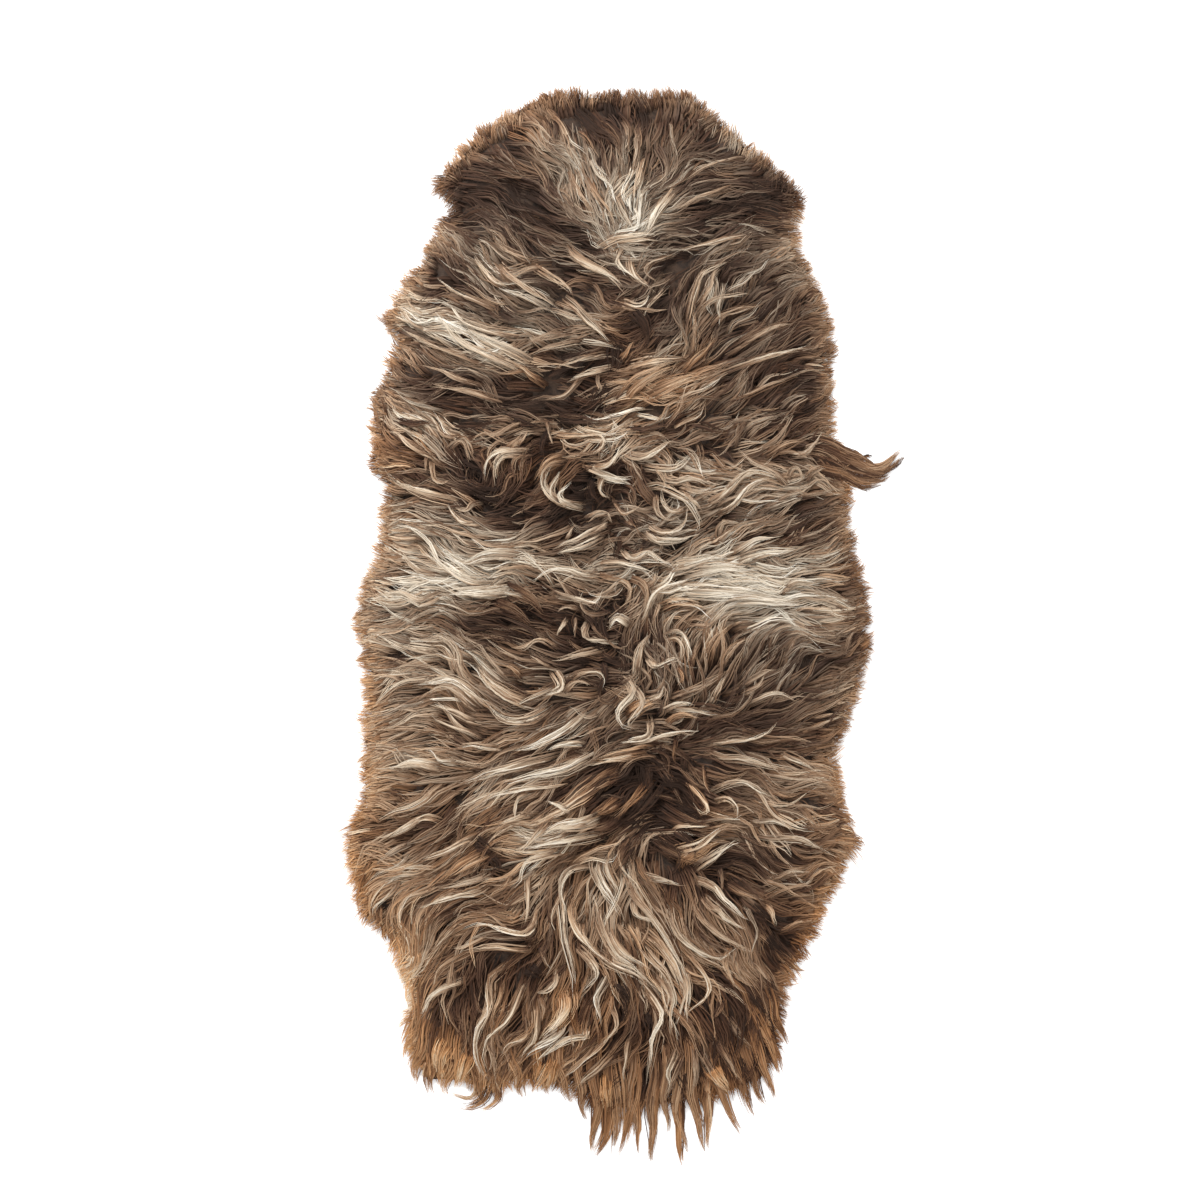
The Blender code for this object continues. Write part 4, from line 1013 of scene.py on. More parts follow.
@dataclass(frozen=True)
class LockStyle:
    """The build of one kind of lock: its strands, its sizes, how it waves and how pale it is.

    Radii are metres and tones are plain for locks that grow by the comb. For placed locks radii are
    shares of the lock's own radius, and tones add to its own. Lifts are shares of the pile's height.
    Flip is the share that may lie against the comb, and shortest the least length of a strand as a
    share of the lock's. A placed lock is laid as sprays: stagger is how much of the route a spray
    may leave out at each end, wander how far apart they start and close how far they draw together.
    """

    layer: Layer = Layer.PLACED
    strands: int = 6
    steps: int = 9
    length: float = 0.10
    length_spread: float = 0.0
    root_radius: float = 0.12
    belly_radius: float = 0.30
    tip_radius: float = 0.05
    strand_width: float = 0.00080
    wave_height: float = 0.0016
    wave_length: float = 0.040
    lift_low: float = 0.94
    lift_high: float = 1.20
    root_tone: float = -0.36
    tip_tone: float = 0.02
    lock_jitter: float = 0.07
    strand_jitter: float = 0.06
    roll: float = 0.30
    curl: float = 0.0
    wander: float = 0.95
    flip: float = 0.0
    edge_shade: float = 0.10
    sprays: int = 1
    sprays_per_mm: float = 0.0
    stagger: float = 0.0
    close: float = 0.7
    flatness: float = 0.6
    shortest: float = 0.55

    def shares(self) -> np.ndarray:
        """Give how far along the lock each of its points is, 0 at the root to 1 at the tip."""
        return np.linspace(0.0, 1.0, self.steps + 1)


PLACED_STYLE = LockStyle(sprays=2, sprays_per_mm=0.55, stagger=0.20)
PALE_STYLE = replace(PLACED_STYLE, tip_tone=0.07)
# Each placed lock is laid over a broader, darker spray along the same route: painted shade round the lock,
# which also softens its edge into the coat.
SHADE_VEIL_STYLE = LockStyle(
    strands=11, steps=7, root_radius=0.8, belly_radius=1.7, tip_radius=0.5, strand_width=0.0010,
    wave_height=0.0014, lift_low=0.90, lift_high=1.10, root_tone=-0.30, tip_tone=-0.12,
    lock_jitter=0.02, strand_jitter=0.09, wander=0.0, flatness=0.35,
)
FOOT_STYLE = replace(
    SHADE_VEIL_STYLE, belly_radius=1.8, tip_radius=0.1, strand_width=0.0022,
    lift_low=0.55, lift_high=0.75, root_tone=-0.12, tip_tone=0.0,
)
SHEET_STYLE = LockStyle(
    strands=8, steps=7, root_radius=0.4, belly_radius=0.7, tip_radius=0.2, strand_width=0.0011,
    wave_height=0.0018, wave_length=0.038, lift_low=0.98, lift_high=1.10, root_tone=-0.26, tip_tone=-0.04,
    lock_jitter=0.05, roll=0.35, wander=0.9, edge_shade=0.12, sprays=3, stagger=0.25, flatness=0.3,
    shortest=0.60,
)
# Crease strokes lie on top of the coat and stay dark to the tip: they are painted shade.
CREASE_SHADE_STYLE = replace(SHEET_STYLE, lift_low=1.08, lift_high=1.16, root_tone=-0.10, tip_tone=0.0)
HIND_STYLE = LockStyle(
    strands=15, steps=10, root_radius=0.8, belly_radius=0.85, tip_radius=0.22, strand_width=0.0012,
    wave_height=0.0022, wave_length=0.070, lift_low=0.84, lift_high=0.98, root_tone=-0.16, tip_tone=0.12,
    lock_jitter=0.09, roll=0.4, wander=0.85, edge_shade=0.0, sprays=2, sprays_per_mm=0.34, stagger=0.05,
    close=0.50, shortest=0.74,
)
TUFT_STYLE = replace(
    HIND_STYLE, root_tone=-0.24, tip_tone=0.02, wave_height=0.0030, wave_length=0.045, close=0.38,
)
UNDER_STYLE = LockStyle(
    layer=Layer.UNDER, strands=12, steps=4, length=0.070, length_spread=0.25,
    root_radius=0.013, belly_radius=0.014, tip_radius=0.007, strand_width=0.0023,
    wave_height=0.0010, wave_length=0.050, lift_low=0.50, lift_high=0.86, root_tone=0.24, tip_tone=0.44,
    lock_jitter=0.05, strand_jitter=0.04, curl=0.3, wander=0.30, flip=0.5, edge_shade=0.0,
    flatness=0.25, shortest=0.60,
)
MIDDLE_STYLE = LockStyle(
    layer=Layer.OUTER, strands=14, steps=6, length=0.092, length_spread=0.30,
    root_radius=0.006, belly_radius=0.0115, tip_radius=0.0026, strand_width=0.0013,
    wave_height=0.0026, wave_length=0.042, lift_low=0.76, lift_high=1.02, root_tone=0.25, tip_tone=0.62,
    lock_jitter=0.085, strand_jitter=0.045, roll=0.28, curl=0.8, wander=0.50, flip=0.45, edge_shade=0.08,
    flatness=0.26,
)
WISP_STYLE = LockStyle(
    layer=Layer.OUTER, strands=7, steps=8, length=0.092, length_spread=0.35,
    root_radius=0.0025, belly_radius=0.0034, tip_radius=0.0006, strand_width=0.00085,
    wave_height=0.0026, wave_length=0.042, lift_low=0.94, lift_high=1.12, root_tone=0.30, tip_tone=0.76,
    lock_jitter=0.09, curl=1.0, wander=0.55, flip=0.4, edge_shade=0.18, flatness=0.30,
)
TANGLE_STYLE = LockStyle(
    layer=Layer.OUTER, strands=10, steps=8, length=0.062, length_spread=0.35,
    root_radius=0.003, belly_radius=0.0050, tip_radius=0.0008, strand_width=0.0010,
    wave_height=0.0030, wave_length=0.042, lift_low=0.85, lift_high=1.08, root_tone=0.20, tip_tone=0.62,
    lock_jitter=0.10, strand_jitter=0.09, roll=0.55, curl=1.5, wander=0.9, flip=0.5, edge_shade=0.15,
    flatness=0.45, shortest=0.60,
)
# The rim wool is paler than the coat: partly its own colour, partly painted glow of light through the thin
# wool at the outline.
RIM_STYLE = LockStyle(
    layer=Layer.RIM, strands=15, steps=4, length=0.036, length_spread=0.25,
    root_radius=0.009, belly_radius=0.0085, tip_radius=0.0065, strand_width=0.0010,
    wave_height=0.0010, wave_length=0.030, lift_low=0.45, lift_high=1.0, root_tone=0.40, tip_tone=0.70,
    lock_jitter=0.05, roll=0.5, curl=0.5, wander=0.25, edge_shade=0.0, flatness=0.4, shortest=0.45,
)


@dataclass
class Habit:
    """What makes each lock lie in its own way: where it starts to, its steady turn and its tip's hook."""

    heading: np.ndarray
    turn: np.ndarray
    hook: np.ndarray


@dataclass
class Guides:
    """The middle lines of a set of locks, what colours them and how full they are."""

    path: np.ndarray
    paleness: np.ndarray
    warmth: np.ndarray
    fullness: np.ndarray


@dataclass
class Coat:
    """What every lock is laid by: outline and pile, comb, colour charts and noises."""

    pile: Pile = field(default_factory=Pile)
    comb: Comb = field(default_factory=Comb)
    pale: PatchField = field(default_factory=lambda: PatchField(PALENESS_AND_SHADE_CHART))
    warm: PatchField = field(default_factory=lambda: PatchField(WARMTH_CHART))
    curly: PatchField = field(default_factory=lambda: PatchField(CURL_CHART))
    broad: SoftNoise = field(default_factory=lambda: SoftNoise(SEED + 1, 0.085))
    fine: SoftNoise = field(default_factory=lambda: SoftNoise(SEED + 2, 0.028))
    phase: SoftNoise = field(default_factory=lambda: SoftNoise(SEED + 3, 0.110))
    mottle: SoftNoise = field(default_factory=lambda: SoftNoise(SEED + 4, 0.022))
    roots_left: float = -0.34
    roots_width: float = 0.66
    ground_warmth: float = 0.16
    # Orange towards the outline: partly the wool's own colour, partly painted glow of light shining through
    # the thin rim wool.
    rim_warmth_and_glow: float = 0.85
    rim_warmth_and_glow_depth: float = 0.016
    warmth_jitter: float = 0.09
    patch_on_root: float = 0.40
    patch_on_lock: float = 0.95
    mottling: float = 0.05
    turn_lost: float = 0.6
    broad_bend: float = 0.8
    fine_bend: float = 1.1
    longer_at_tail: float = 0.28
    curl_takes: float = 0.30
    spine_reach: float = 0.070
    shoulder_reach: float = 0.080
    ragged_edge: float = 0.014
    least_fit: float = 0.12
    rise_share: float = 0.28
    bumps: float = 0.10

    def scatter(self, count: int, inset: float, tail_inset: float, start: int) -> np.ndarray:
        """Spread roots evenly over the skin.

        Args:
            count: how many places are tried over the bounding box.
            inset: how far inside the wool's ends the roots stay.
            tail_inset: the same at the tail end.
            start: where the even sequence starts.

        Returns:
            The roots that fall inside, as rows of x and y.
        """
        index = np.arange(start, start + count)
        x = self.roots_left + self.roots_width * ((index * PLASTIC_STEP_X) % 1.0)
        y = TAIL_END_Y + (NECK_END_Y - TAIL_END_Y) * ((index * PLASTIC_STEP_Y) % 1.0)
        inside = (self.pile.depth(x, y) > inset) & (y > TAIL_END_Y + tail_inset)
        return np.stack([x[inside], y[inside]], axis=1)

    def wool_warmth(self, x: np.ndarray, y: np.ndarray) -> np.ndarray:
        """Read how orange the wool is, with a painted glow of light through the thin wool towards the
        outline.

        Args:
            x: places across the skin.
            y: places along the skin.

        Returns:
            0 for cool grey brown to 1 for orange brown.
        """
        # Painted glow at the outline, mixed with the rim wool's own orange.
        rim = np.exp(-np.clip(self.pile.depth(x, y), 0.0, None) / self.rim_warmth_and_glow_depth)
        return self.ground_warmth + self.warm.at(x, y) + self.rim_warmth_and_glow * rim

    def trace(self, roots: np.ndarray, length: np.ndarray, habit: Habit, style: LockStyle) -> np.ndarray:
        """Follow the comb from the roots.

        Args:
            roots: rows of x and y.
            length: each lock's length.
            habit: each lock's own turn, hook and start.
            style: the build of the locks.

        Returns:
            The locks' middle lines, flat, without waves.
        """
        x = roots[:, 0].copy()
        y = roots[:, 1].copy()
        above = y > self.comb.break_y
        heading = habit.heading
        step = length / style.steps
        path = np.zeros((len(roots), style.steps + 1, 3))
        for index, share in enumerate(style.shares()):
            path[:, index, 0] = x
            path[:, index, 1] = y
            line = self.comb.line(x, y, above)
            heading = line + math.pi * (np.cos(line - heading) < 0.0)
            angle = heading + habit.turn * (1.0 - self.turn_lost * share) + habit.hook * share**2.2
            bend = self.broad_bend * self.broad.at(x, y) + self.fine_bend * self.fine.at(x, y)
            angle = angle + style.wander * bend
            x = x + np.cos(angle) * step
            y = y + np.sin(angle) * step
        return path

    def fit(self, path: np.ndarray, limit: np.ndarray) -> np.ndarray:
        """Find how much of each lock lies inside the wool's outline.

        Args:
            path: the locks' middle lines.
            limit: how far inside the outline each lock has to end.

        Returns:
            The share of each lock's length that fits.
        """
        inside = self.pile.depth(path[:, :, 0], path[:, :, 1]) - limit[:, None]
        out = inside < 0.0
        steps = path.shape[1] - 1
        first = np.where(out.any(axis=1), out.argmax(axis=1), steps)
        first = np.maximum(first, 1)
        row = np.arange(len(path))
        before = inside[row, first - 1]
        after = inside[row, first]
        part = np.where(out.any(axis=1), before / np.maximum(before - after, 1e-6), 1.0)
        return np.clip((first - 1 + np.clip(part, 0.0, 1.0)) / steps, self.least_fit, 1.0)

    def lay(self, roots: np.ndarray, style: LockStyle, rng: np.random.Generator) -> Guides:
        """Lay locks from their roots along the comb, up to the wool's outline.

        Args:
            roots: rows of x and y.
            style: the build of the locks.
            rng: the seeded draw.

        Returns:
            The locks' guides.
        """
        count = len(roots)
        root_x = roots[:, 0]
        root_y = roots[:, 1]
        curly = np.clip(self.curly.at(root_x, root_y), 0.0, 1.2) * style.curl
        length = style.length * (1.0 + style.length_spread * rng.uniform(-1.0, 1.0, count))
        towards_tail = np.clip(-root_y / 0.5, -0.6, 1.0)
        curl_left = 1.0 - self.curl_takes * np.clip(curly, 0.0, 1.0)
        length *= (1.0 + self.longer_at_tail * towards_tail) * curl_left
        from_spine = np.abs(root_x - self.comb.spine(root_y))
        near = np.clip(1.2 - from_spine / self.spine_reach, 0.0, 1.0) * (root_y < self.comb.neck_start)
        flip = style.flip * (np.maximum(near, 0.7) if style.layer is Layer.UNDER else near)
        shoulder = (root_y > self.comb.break_y) & (root_y < self.comb.neck_start)
        flip = np.where(shoulder, np.clip(1.5 - from_spine / self.shoulder_reach, 0.12, 0.85), flip)
        heading = self.comb.way(root_x, root_y) + math.pi * (rng.uniform(0.0, 1.0, count) < flip)
        turn = rng.normal(0.0, style.wander * 0.5, count) * (1.0 + 0.8 * curly)
        hook = rng.choice((-1.0, 1.0), count) * (0.25 + 2.4 * curly) * rng.uniform(0.4, 1.0, count)
        habit = Habit(heading, turn, hook * style.curl)
        limit = rng.uniform(0.0, self.ragged_edge, count)
        fitting = self.fit(self.trace(roots, length, habit, style), limit)
        length = length * fitting
        path = self.trace(roots, length, habit, style)
        share = style.shares()
        phase = math.tau * self.phase.at(root_x, root_y) + rng.normal(0.0, 0.5, count)
        turns = (length / (style.wave_length * rng.uniform(0.85, 1.2, count)))[:, None] * share
        height = style.wave_height * rng.uniform(0.5, 1.3, count) * (1.0 + 0.5 * curly) * fitting
        sway = height[:, None] * share**0.6 * np.sin(math.tau * turns + phase[:, None])
        path[:, :, :2] += sideways(path) * sway[:, :, None]
        self.stack(path, rng.uniform(style.lift_low, style.lift_high, count), share)
        return Guides(path, *self.colour(path, share, style, rng), fitting**0.5)

    def colour(
        self, path: np.ndarray, share: np.ndarray, style: LockStyle, rng: np.random.Generator
    ) -> tuple:
        """Colour locks by where they lie and from root to tip.

        Args:
            path: the locks' middle lines.
            share: how far along the lock each point is.
            style: the build of the locks.
            rng: the seeded draw.

        Returns:
            Paleness and warmth at each point.
        """
        count = len(path)
        x = path[:, :, 0]
        y = path[:, :, 1]
        tone = style.root_tone + (style.tip_tone - style.root_tone) * share**1.1
        tone = tone + rng.normal(0.0, style.lock_jitter, count)[:, None]
        # The paleness chart brings the coat's own pale and dark patches and painted shade in its creases and
        # hollows.
        patch = self.pale.at(x, y)
        tone = tone + self.patch_on_root * patch[:, :1] + self.patch_on_lock * patch
        tone = tone + self.mottling * self.mottle.at(x, y)
        warmth = self.wool_warmth(x, y) + rng.normal(0.0, self.warmth_jitter, count)[:, None]
        return tone, warmth

    def stack(self, path: np.ndarray, lift: np.ndarray, share: np.ndarray) -> None:
        """Set the height of locks: out of the hide at the root, then at their layer of the pile.

        Args:
            path: the guides' points, changed in place.
            lift: each lock's layer as a share of the pile's height.
            share: how far along the lock each point is.
        """
        top = self.pile.height(path[:, :, 0], path[:, :, 1])
        root = np.minimum(HIDE_TOP, 0.5 * top)
        bumps = 1.0 + self.bumps * self.fine.at(path[:, :, 0], path[:, :, 1])
        path[:, :, 2] = root + (top * lift[:, None] * bumps - root) * ease(share / self.rise_share)


@dataclass
class StrandMesh:
    """Turns guides into one mesh of fine tapering strands."""

    bake_map: str = "OFBake"
    map_width: float = 0.010
    trembling: float = 0.0007
    lowest_middle: float = 0.0004
    warmth_jitter: float = 0.07

    def profile(self, style: LockStyle, share: np.ndarray) -> np.ndarray:
        """Read a bundle's radius along the lock.

        Args:
            style: the build of the locks.
            share: how far along the lock each point is.

        Returns:
            The radius at each point.
        """
        places = (0.0, 0.22, 0.55, 0.85, 1.0)
        shoulder = 0.5 * (style.belly_radius + style.tip_radius)
        radii = (style.root_radius, style.belly_radius, style.belly_radius, shoulder, style.tip_radius)
        return np.interp(share, places, radii)

    def strands(self, guides: Guides, style: LockStyle, rng: np.random.Generator) -> tuple:
        """Fan each guide out into strands.

        Args:
            guides: the locks' middle lines.
            style: the build of the locks.
            rng: the seeded draw.

        Returns:
            Points, half widths as vectors, paleness and warmth of every strand at every step.
        """
        count, points = guides.path.shape[:2]
        share = style.shares()
        reach = rng.uniform(style.shortest, 1.0, (count, style.strands))
        place = reach[:, :, None] * share * (points - 1)
        low = np.minimum(place.astype(int), points - 2)
        part = (place - low)[..., None]
        lock = np.arange(count)[:, None, None]
        middle = guides.path[lock, low] * (1.0 - part) + guides.path[lock, low + 1] * part
        way = np.gradient(guides.path, axis=1)[lock, low]
        flat = np.sqrt(way[..., 0] ** 2 + way[..., 1] ** 2) + TINY
        side = np.stack([-way[..., 1] / flat, way[..., 0] / flat, np.zeros_like(flat)], axis=-1)
        spin = rng.uniform(0.0, math.tau, (count, style.strands))
        out = np.sqrt(rng.uniform(0.0, 1.0, (count, style.strands)))
        radius = self.profile(style, share) * guides.fullness[:, None, None]
        shift = (out * np.cos(spin))[..., None] * radius
        raise_by = (out * np.sin(spin))[..., None] * radius * style.flatness
        tremble = self.trembling * np.sin(
            rng.uniform(8.0, 15.0, (count, style.strands, 1)) * share
            + rng.uniform(0.0, 6.28, (count, style.strands, 1))
        )
        centre = middle + side * (shift + tremble * share)[..., None]
        centre[..., 2] = np.maximum(centre[..., 2] + raise_by, self.lowest_middle)
        roll = rng.uniform(-style.roll, style.roll, (count, style.strands, 1))
        taper = np.interp(share, (0.0, 0.15, 0.55, 0.85, 1.0), (0.45, 1.0, 0.92, 0.55, 0.14))
        width = 0.5 * style.strand_width * rng.uniform(0.7, 1.25, (count, style.strands, 1)) * taper
        half = side * (np.cos(roll) * width)[..., None]
        half[..., 2] += np.sin(roll) * width
        pale = guides.paleness[lock, low] + rng.normal(0.0, style.strand_jitter, (count, style.strands, 1))
        pale = pale - style.edge_shade * (out[:, :, None] ** 2 - 0.5)
        warm = guides.warmth[lock, low] + rng.normal(0.0, self.warmth_jitter, (count, style.strands, 1))
        return centre, half, pale, warm

    def build(self, name: str, parts: list) -> bpy.types.Object:
        """Make one mesh of several sets of strands.

        Args:
            name: the piece's name.
            parts: results of strands.

        Returns:
            The new piece.
        """
        corners = []
        quads = []
        maps = []
        start = 0
        for centre, half, pale, warm in parts:
            points = centre.shape[2]
            left = (centre - half).reshape(-1, points, 3)
            right = (centre + half).reshape(-1, points, 3)
            total = len(left)
            rows = np.stack([left, right], axis=2).reshape(-1, 3)
            rows[:, 2] = np.maximum(rows[:, 2], FLOOR_GAP)
            corners.append(rows)
            base = start + (np.arange(total) * points * 2)[:, None] + np.arange(points - 1) * 2
            quads.append(np.stack([base, base + 1, base + 3, base + 2], axis=2).reshape(-1, 4))
            along = np.linspace(0.0, 1.0, points)
            tone = np.clip(pale.reshape(-1, points), 0.02, 0.96) + 0.012 * along
            margin = 2.0 * self.map_width
            hue = np.clip(warm.reshape(-1, points), 0.0, 1.0) * (0.98 - margin) + margin
            near = np.stack([tone, hue - self.map_width], axis=2)
            far = np.stack([tone, hue + self.map_width], axis=2)
            loops = np.stack([near[:, :-1], far[:, :-1], far[:, 1:], near[:, 1:]], axis=2)
            maps.append(loops.reshape(-1, 2))
            start += len(rows)
        return self.make_piece(name, np.concatenate(corners), np.concatenate(quads), np.concatenate(maps))

    def make_piece(
        self, name: str, corners: np.ndarray, quads: np.ndarray, places: np.ndarray
    ) -> bpy.types.Object:
        """Write the arrays into a mesh object.

        Args:
            name: the piece's name.
            corners: points of the mesh.
            quads: corner numbers of each face.
            places: map coordinates of each face corner.

        Returns:
            The new piece.
        """
        mesh = bpy.data.meshes.new(name)
        mesh.vertices.add(len(corners))
        mesh.vertices.foreach_set("co", corners.astype(np.float32).ravel())
        mesh.loops.add(len(quads) * 4)
        mesh.loops.foreach_set("vertex_index", quads.astype(np.int32).ravel())
        mesh.polygons.add(len(quads))
        mesh.polygons.foreach_set("loop_start", np.arange(0, len(quads) * 4, 4, dtype=np.int32))
        mesh.update(calc_edges=True)
        mesh.polygons.foreach_set("use_smooth", np.ones(len(quads), dtype=bool))
        for title in (FIBRE_MAP, self.bake_map):
            layer = mesh.uv_layers.new(name=title)
            layer.data.foreach_set("uv", places.astype(np.float32).ravel())
        mesh.uv_layers[FIBRE_MAP].active_render = True
        mesh.update()
        return put_in_scene(name, mesh)


@dataclass(frozen=True)
class WoolFinish:
    """Wool: from dark root brown to cream by paleness, from grey brown to orange brown by warmth."""

    name: str = "wool"
    dark_roughness: float = 0.82
    pale_roughness: float = 0.60
    sheen: float = 0.06
    specular: float = 0.16
    cool: tuple = (
        (0.00, (34, 23, 16)), (0.22, (68, 50, 40)), (0.45, (116, 99, 83)),
        (0.68, (169, 156, 138)), (0.86, (210, 201, 184)), (1.00, (238, 232, 220)),
    )
    warm: tuple = (
        (0.00, (36, 21, 12)), (0.22, (86, 53, 31)), (0.45, (150, 102, 62)),
        (0.68, (203, 151, 102)), (0.86, (222, 192, 153)), (1.00, (240, 223, 198)),
    )

    def material(self) -> bpy.types.Material:
        """Make the wool's material.

        Returns:
            A material that reads paleness and warmth from the fibre map.
        """
        material, tree, shader = start_material(self.name)
        fibre = tree.nodes.new("ShaderNodeUVMap")
        fibre.uv_map = FIBRE_MAP
        split = tree.nodes.new("ShaderNodeSeparateXYZ")
        tree.links.new(fibre.outputs["UV"], split.inputs["Vector"])
        cool = add_ramp(tree, self.cool)
        warm = add_ramp(tree, self.warm)
        tree.links.new(split.outputs["X"], cool.inputs["Fac"])
        tree.links.new(split.outputs["X"], warm.inputs["Fac"])
        # A mix node's colour inputs are numbers 6 and 7, and its colour output is number 2.
        blend = tree.nodes.new("ShaderNodeMix")
        blend.data_type = "RGBA"
        tree.links.new(split.outputs["Y"], blend.inputs[0])
        tree.links.new(cool.outputs["Color"], blend.inputs[6])
        tree.links.new(warm.outputs["Color"], blend.inputs[7])
        tree.links.new(blend.outputs[2], shader.inputs["Base Color"])
        gloss = tree.nodes.new("ShaderNodeMapRange")
        gloss.inputs["To Min"].default_value = self.dark_roughness
        gloss.inputs["To Max"].default_value = self.pale_roughness
        tree.links.new(split.outputs["X"], gloss.inputs["Value"])
        tree.links.new(gloss.outputs["Result"], shader.inputs["Roughness"])
        shader.inputs["Sheen Weight"].default_value = self.sheen
        shader.inputs["Specular IOR Level"].default_value = self.specular
        return material


@dataclass(frozen=True)
class NoiseFinish:
    """A matt finish of soft blotches between two colours with a fine relief."""

    name: str
    blotches: tuple
    scale: float
    detail: float
    distortion: float
    roughness: float
    sheen: float
    relief_scale: float
    relief_distortion: float
    relief_strength: float
    relief_depth: float

    def noise(self, tree: bpy.types.NodeTree, place: bpy.types.Node, values: dict) -> bpy.types.NodeSocket:
        """Add a noise read at the piece's own coordinates.

        Args:
            tree: the material's nodes.
            place: the coordinate node.
            values: socket names and their constants.

        Returns:
            The noise's value.
        """
        noise = tree.nodes.new("ShaderNodeTexNoise")
        for title, value in values.items():
            noise.inputs[title].default_value = value
        tree.links.new(place.outputs["Object"], noise.inputs["Vector"])
        return noise.outputs["Fac"]

    def material(self) -> bpy.types.Material:
        """Make the material.

        Returns:
            A material of blotches and relief.
        """
        material, tree, shader = start_material(self.name)
        shader.inputs["Roughness"].default_value = self.roughness
        shader.inputs["Sheen Weight"].default_value = self.sheen
        place = tree.nodes.new("ShaderNodeTexCoord")
        blotch = {"Scale": self.scale, "Detail": self.detail, "Distortion": self.distortion}
        ramp = add_ramp(tree, self.blotches)
        tree.links.new(self.noise(tree, place, blotch), ramp.inputs["Fac"])
        tree.links.new(ramp.outputs["Color"], shader.inputs["Base Color"])
        fine = {"Scale": self.relief_scale, "Detail": 4.0, "Distortion": self.relief_distortion}
        bump = tree.nodes.new("ShaderNodeBump")
        bump.inputs["Strength"].default_value = self.relief_strength
        bump.inputs["Distance"].default_value = self.relief_depth
        tree.links.new(self.noise(tree, place, fine), bump.inputs["Height"])
        tree.links.new(bump.outputs["Normal"], shader.inputs["Normal"])
        return material


MATTED_FINISH = NoiseFinish(
    name="matted_wool", blotches=((0.35, (44, 32, 24)), (0.70, (84, 63, 48))), scale=70.0, detail=6.0,
    distortion=1.5, roughness=0.92, sheen=0.1, relief_scale=420.0, relief_distortion=3.0,
    relief_strength=0.6, relief_depth=0.002,
)
SKIN_FINISH = NoiseFinish(
    name="tanned_skin", blotches=((0.30, (186, 154, 120)), (0.66, (222, 202, 176))), scale=9.0, detail=8.0,
    distortion=0.8, roughness=0.88, sheen=0.25, relief_scale=650.0, relief_distortion=0.0,
    relief_strength=0.35, relief_depth=0.0006,
)


def skin_grid(pile: Pile, ends: tuple, inset: float, across: int, along: int) -> tuple:
    """Lay a grid over the skin.

    Args:
        pile: the wool's outline.
        ends: the stations where the grid starts and ends along the skin.
        inset: how far inside the wool's left and right ends it stays.
        across: number of cells across the skin.
        along: number of cells along the skin.

    Returns:
        Places across and along the skin, and the share of the way across and along, row by row.
    """
    share_x, share_y = np.meshgrid(np.linspace(0, 1, across + 1), np.linspace(0, 1, along + 1))
    y = ends[0] + (ends[1] - ends[0]) * share_y
    left, right = pile.ends(y)
    x = left + inset + (right - left - 2.0 * inset) * share_x
    return x, y, share_x, share_y


def closed_sheet(name: str, x: np.ndarray, y: np.ndarray, bottom: float, top: object) -> bpy.types.Object:
    """Make a closed solid between a flat underside and a top, over a grid.

    Args:
        name: the piece's name.
        x: places across the skin, row by row.
        y: places along the skin, row by row.
        bottom: height of the underside.
        top: height of the top, one number or one for each place.

    Returns:
        The new piece.
    """
    count = x.size
    flat = np.stack([x.ravel(), y.ravel()], axis=1)
    upper = np.concatenate([flat, np.broadcast_to(np.reshape(top, (-1, 1)), (count, 1))], axis=1)
    lower = np.concatenate([flat, np.full((count, 1), bottom)], axis=1)
    number = np.arange(count).reshape(x.shape)
    cells = np.stack([number[:-1, :-1], number[:-1, 1:], number[1:, 1:], number[1:, :-1]], axis=2)
    cells = cells.reshape(-1, 4)
    around = np.concatenate([number[0, :-1], number[:-1, -1], number[-1, :0:-1], number[:0:-1, 0]])
    following = np.roll(around, -1)
    wall = np.stack([around + count, following + count, following, around], axis=1)
    quads = np.concatenate([cells, cells[:, ::-1] + count, wall])
    mesh = bpy.data.meshes.new(name)
    mesh.from_pydata(np.concatenate([upper, lower]).tolist(), [], quads.tolist())
    mesh.polygons.foreach_set("use_smooth", np.ones(len(quads), dtype=bool))
    mesh.set_sharp_from_angle(angle=math.radians(50.0))
    mesh.update()
    return put_in_scene(name, mesh)


@dataclass
class Hide:
    """The tanned skin: a thin sheet with an uneven trimmed edge, lying flat under the wool."""

    pile: Pile
    across: int = 30
    along: int = 70
    thickness: float = HIDE_TOP
    trim_wobble: float = 0.0015

    def build(self) -> bpy.types.Object:
        """Make the hide.

        Returns:
            The dressed hide.
        """
        low = TAIL_END_Y + HIDE_INSET_TAIL
        high = NECK_END_Y - HIDE_INSET_SIDE
        x, y, share_x, _ = skin_grid(self.pile, (low, high), HIDE_INSET_SIDE, self.across, self.along)
        wobble = self.trim_wobble * SoftNoise(SEED + 9, 0.02).at(share_x, y)
        x = x - np.sign(share_x - 0.5) * np.abs(wobble) * (np.abs(share_x - 0.5) > 0.49)
        piece = closed_sheet("hide_skin", x, y, FLOOR_GAP, self.thickness)
        piece.data.materials.append(SKIN_FINISH.material())
        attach(piece, "root")
        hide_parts("hide")
        return piece


def dress(piece: bpy.types.Object, wool: bpy.types.Material) -> bpy.types.Object:
    """Give a piece of fleece its wool and body, and hide the imported fleece.

    Args:
        piece: the piece.
        wool: the wool's material.

    Returns:
        The same piece.
    """
    piece.data.materials.append(wool)
    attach(piece, "root")
    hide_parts("fleece")
    return piece


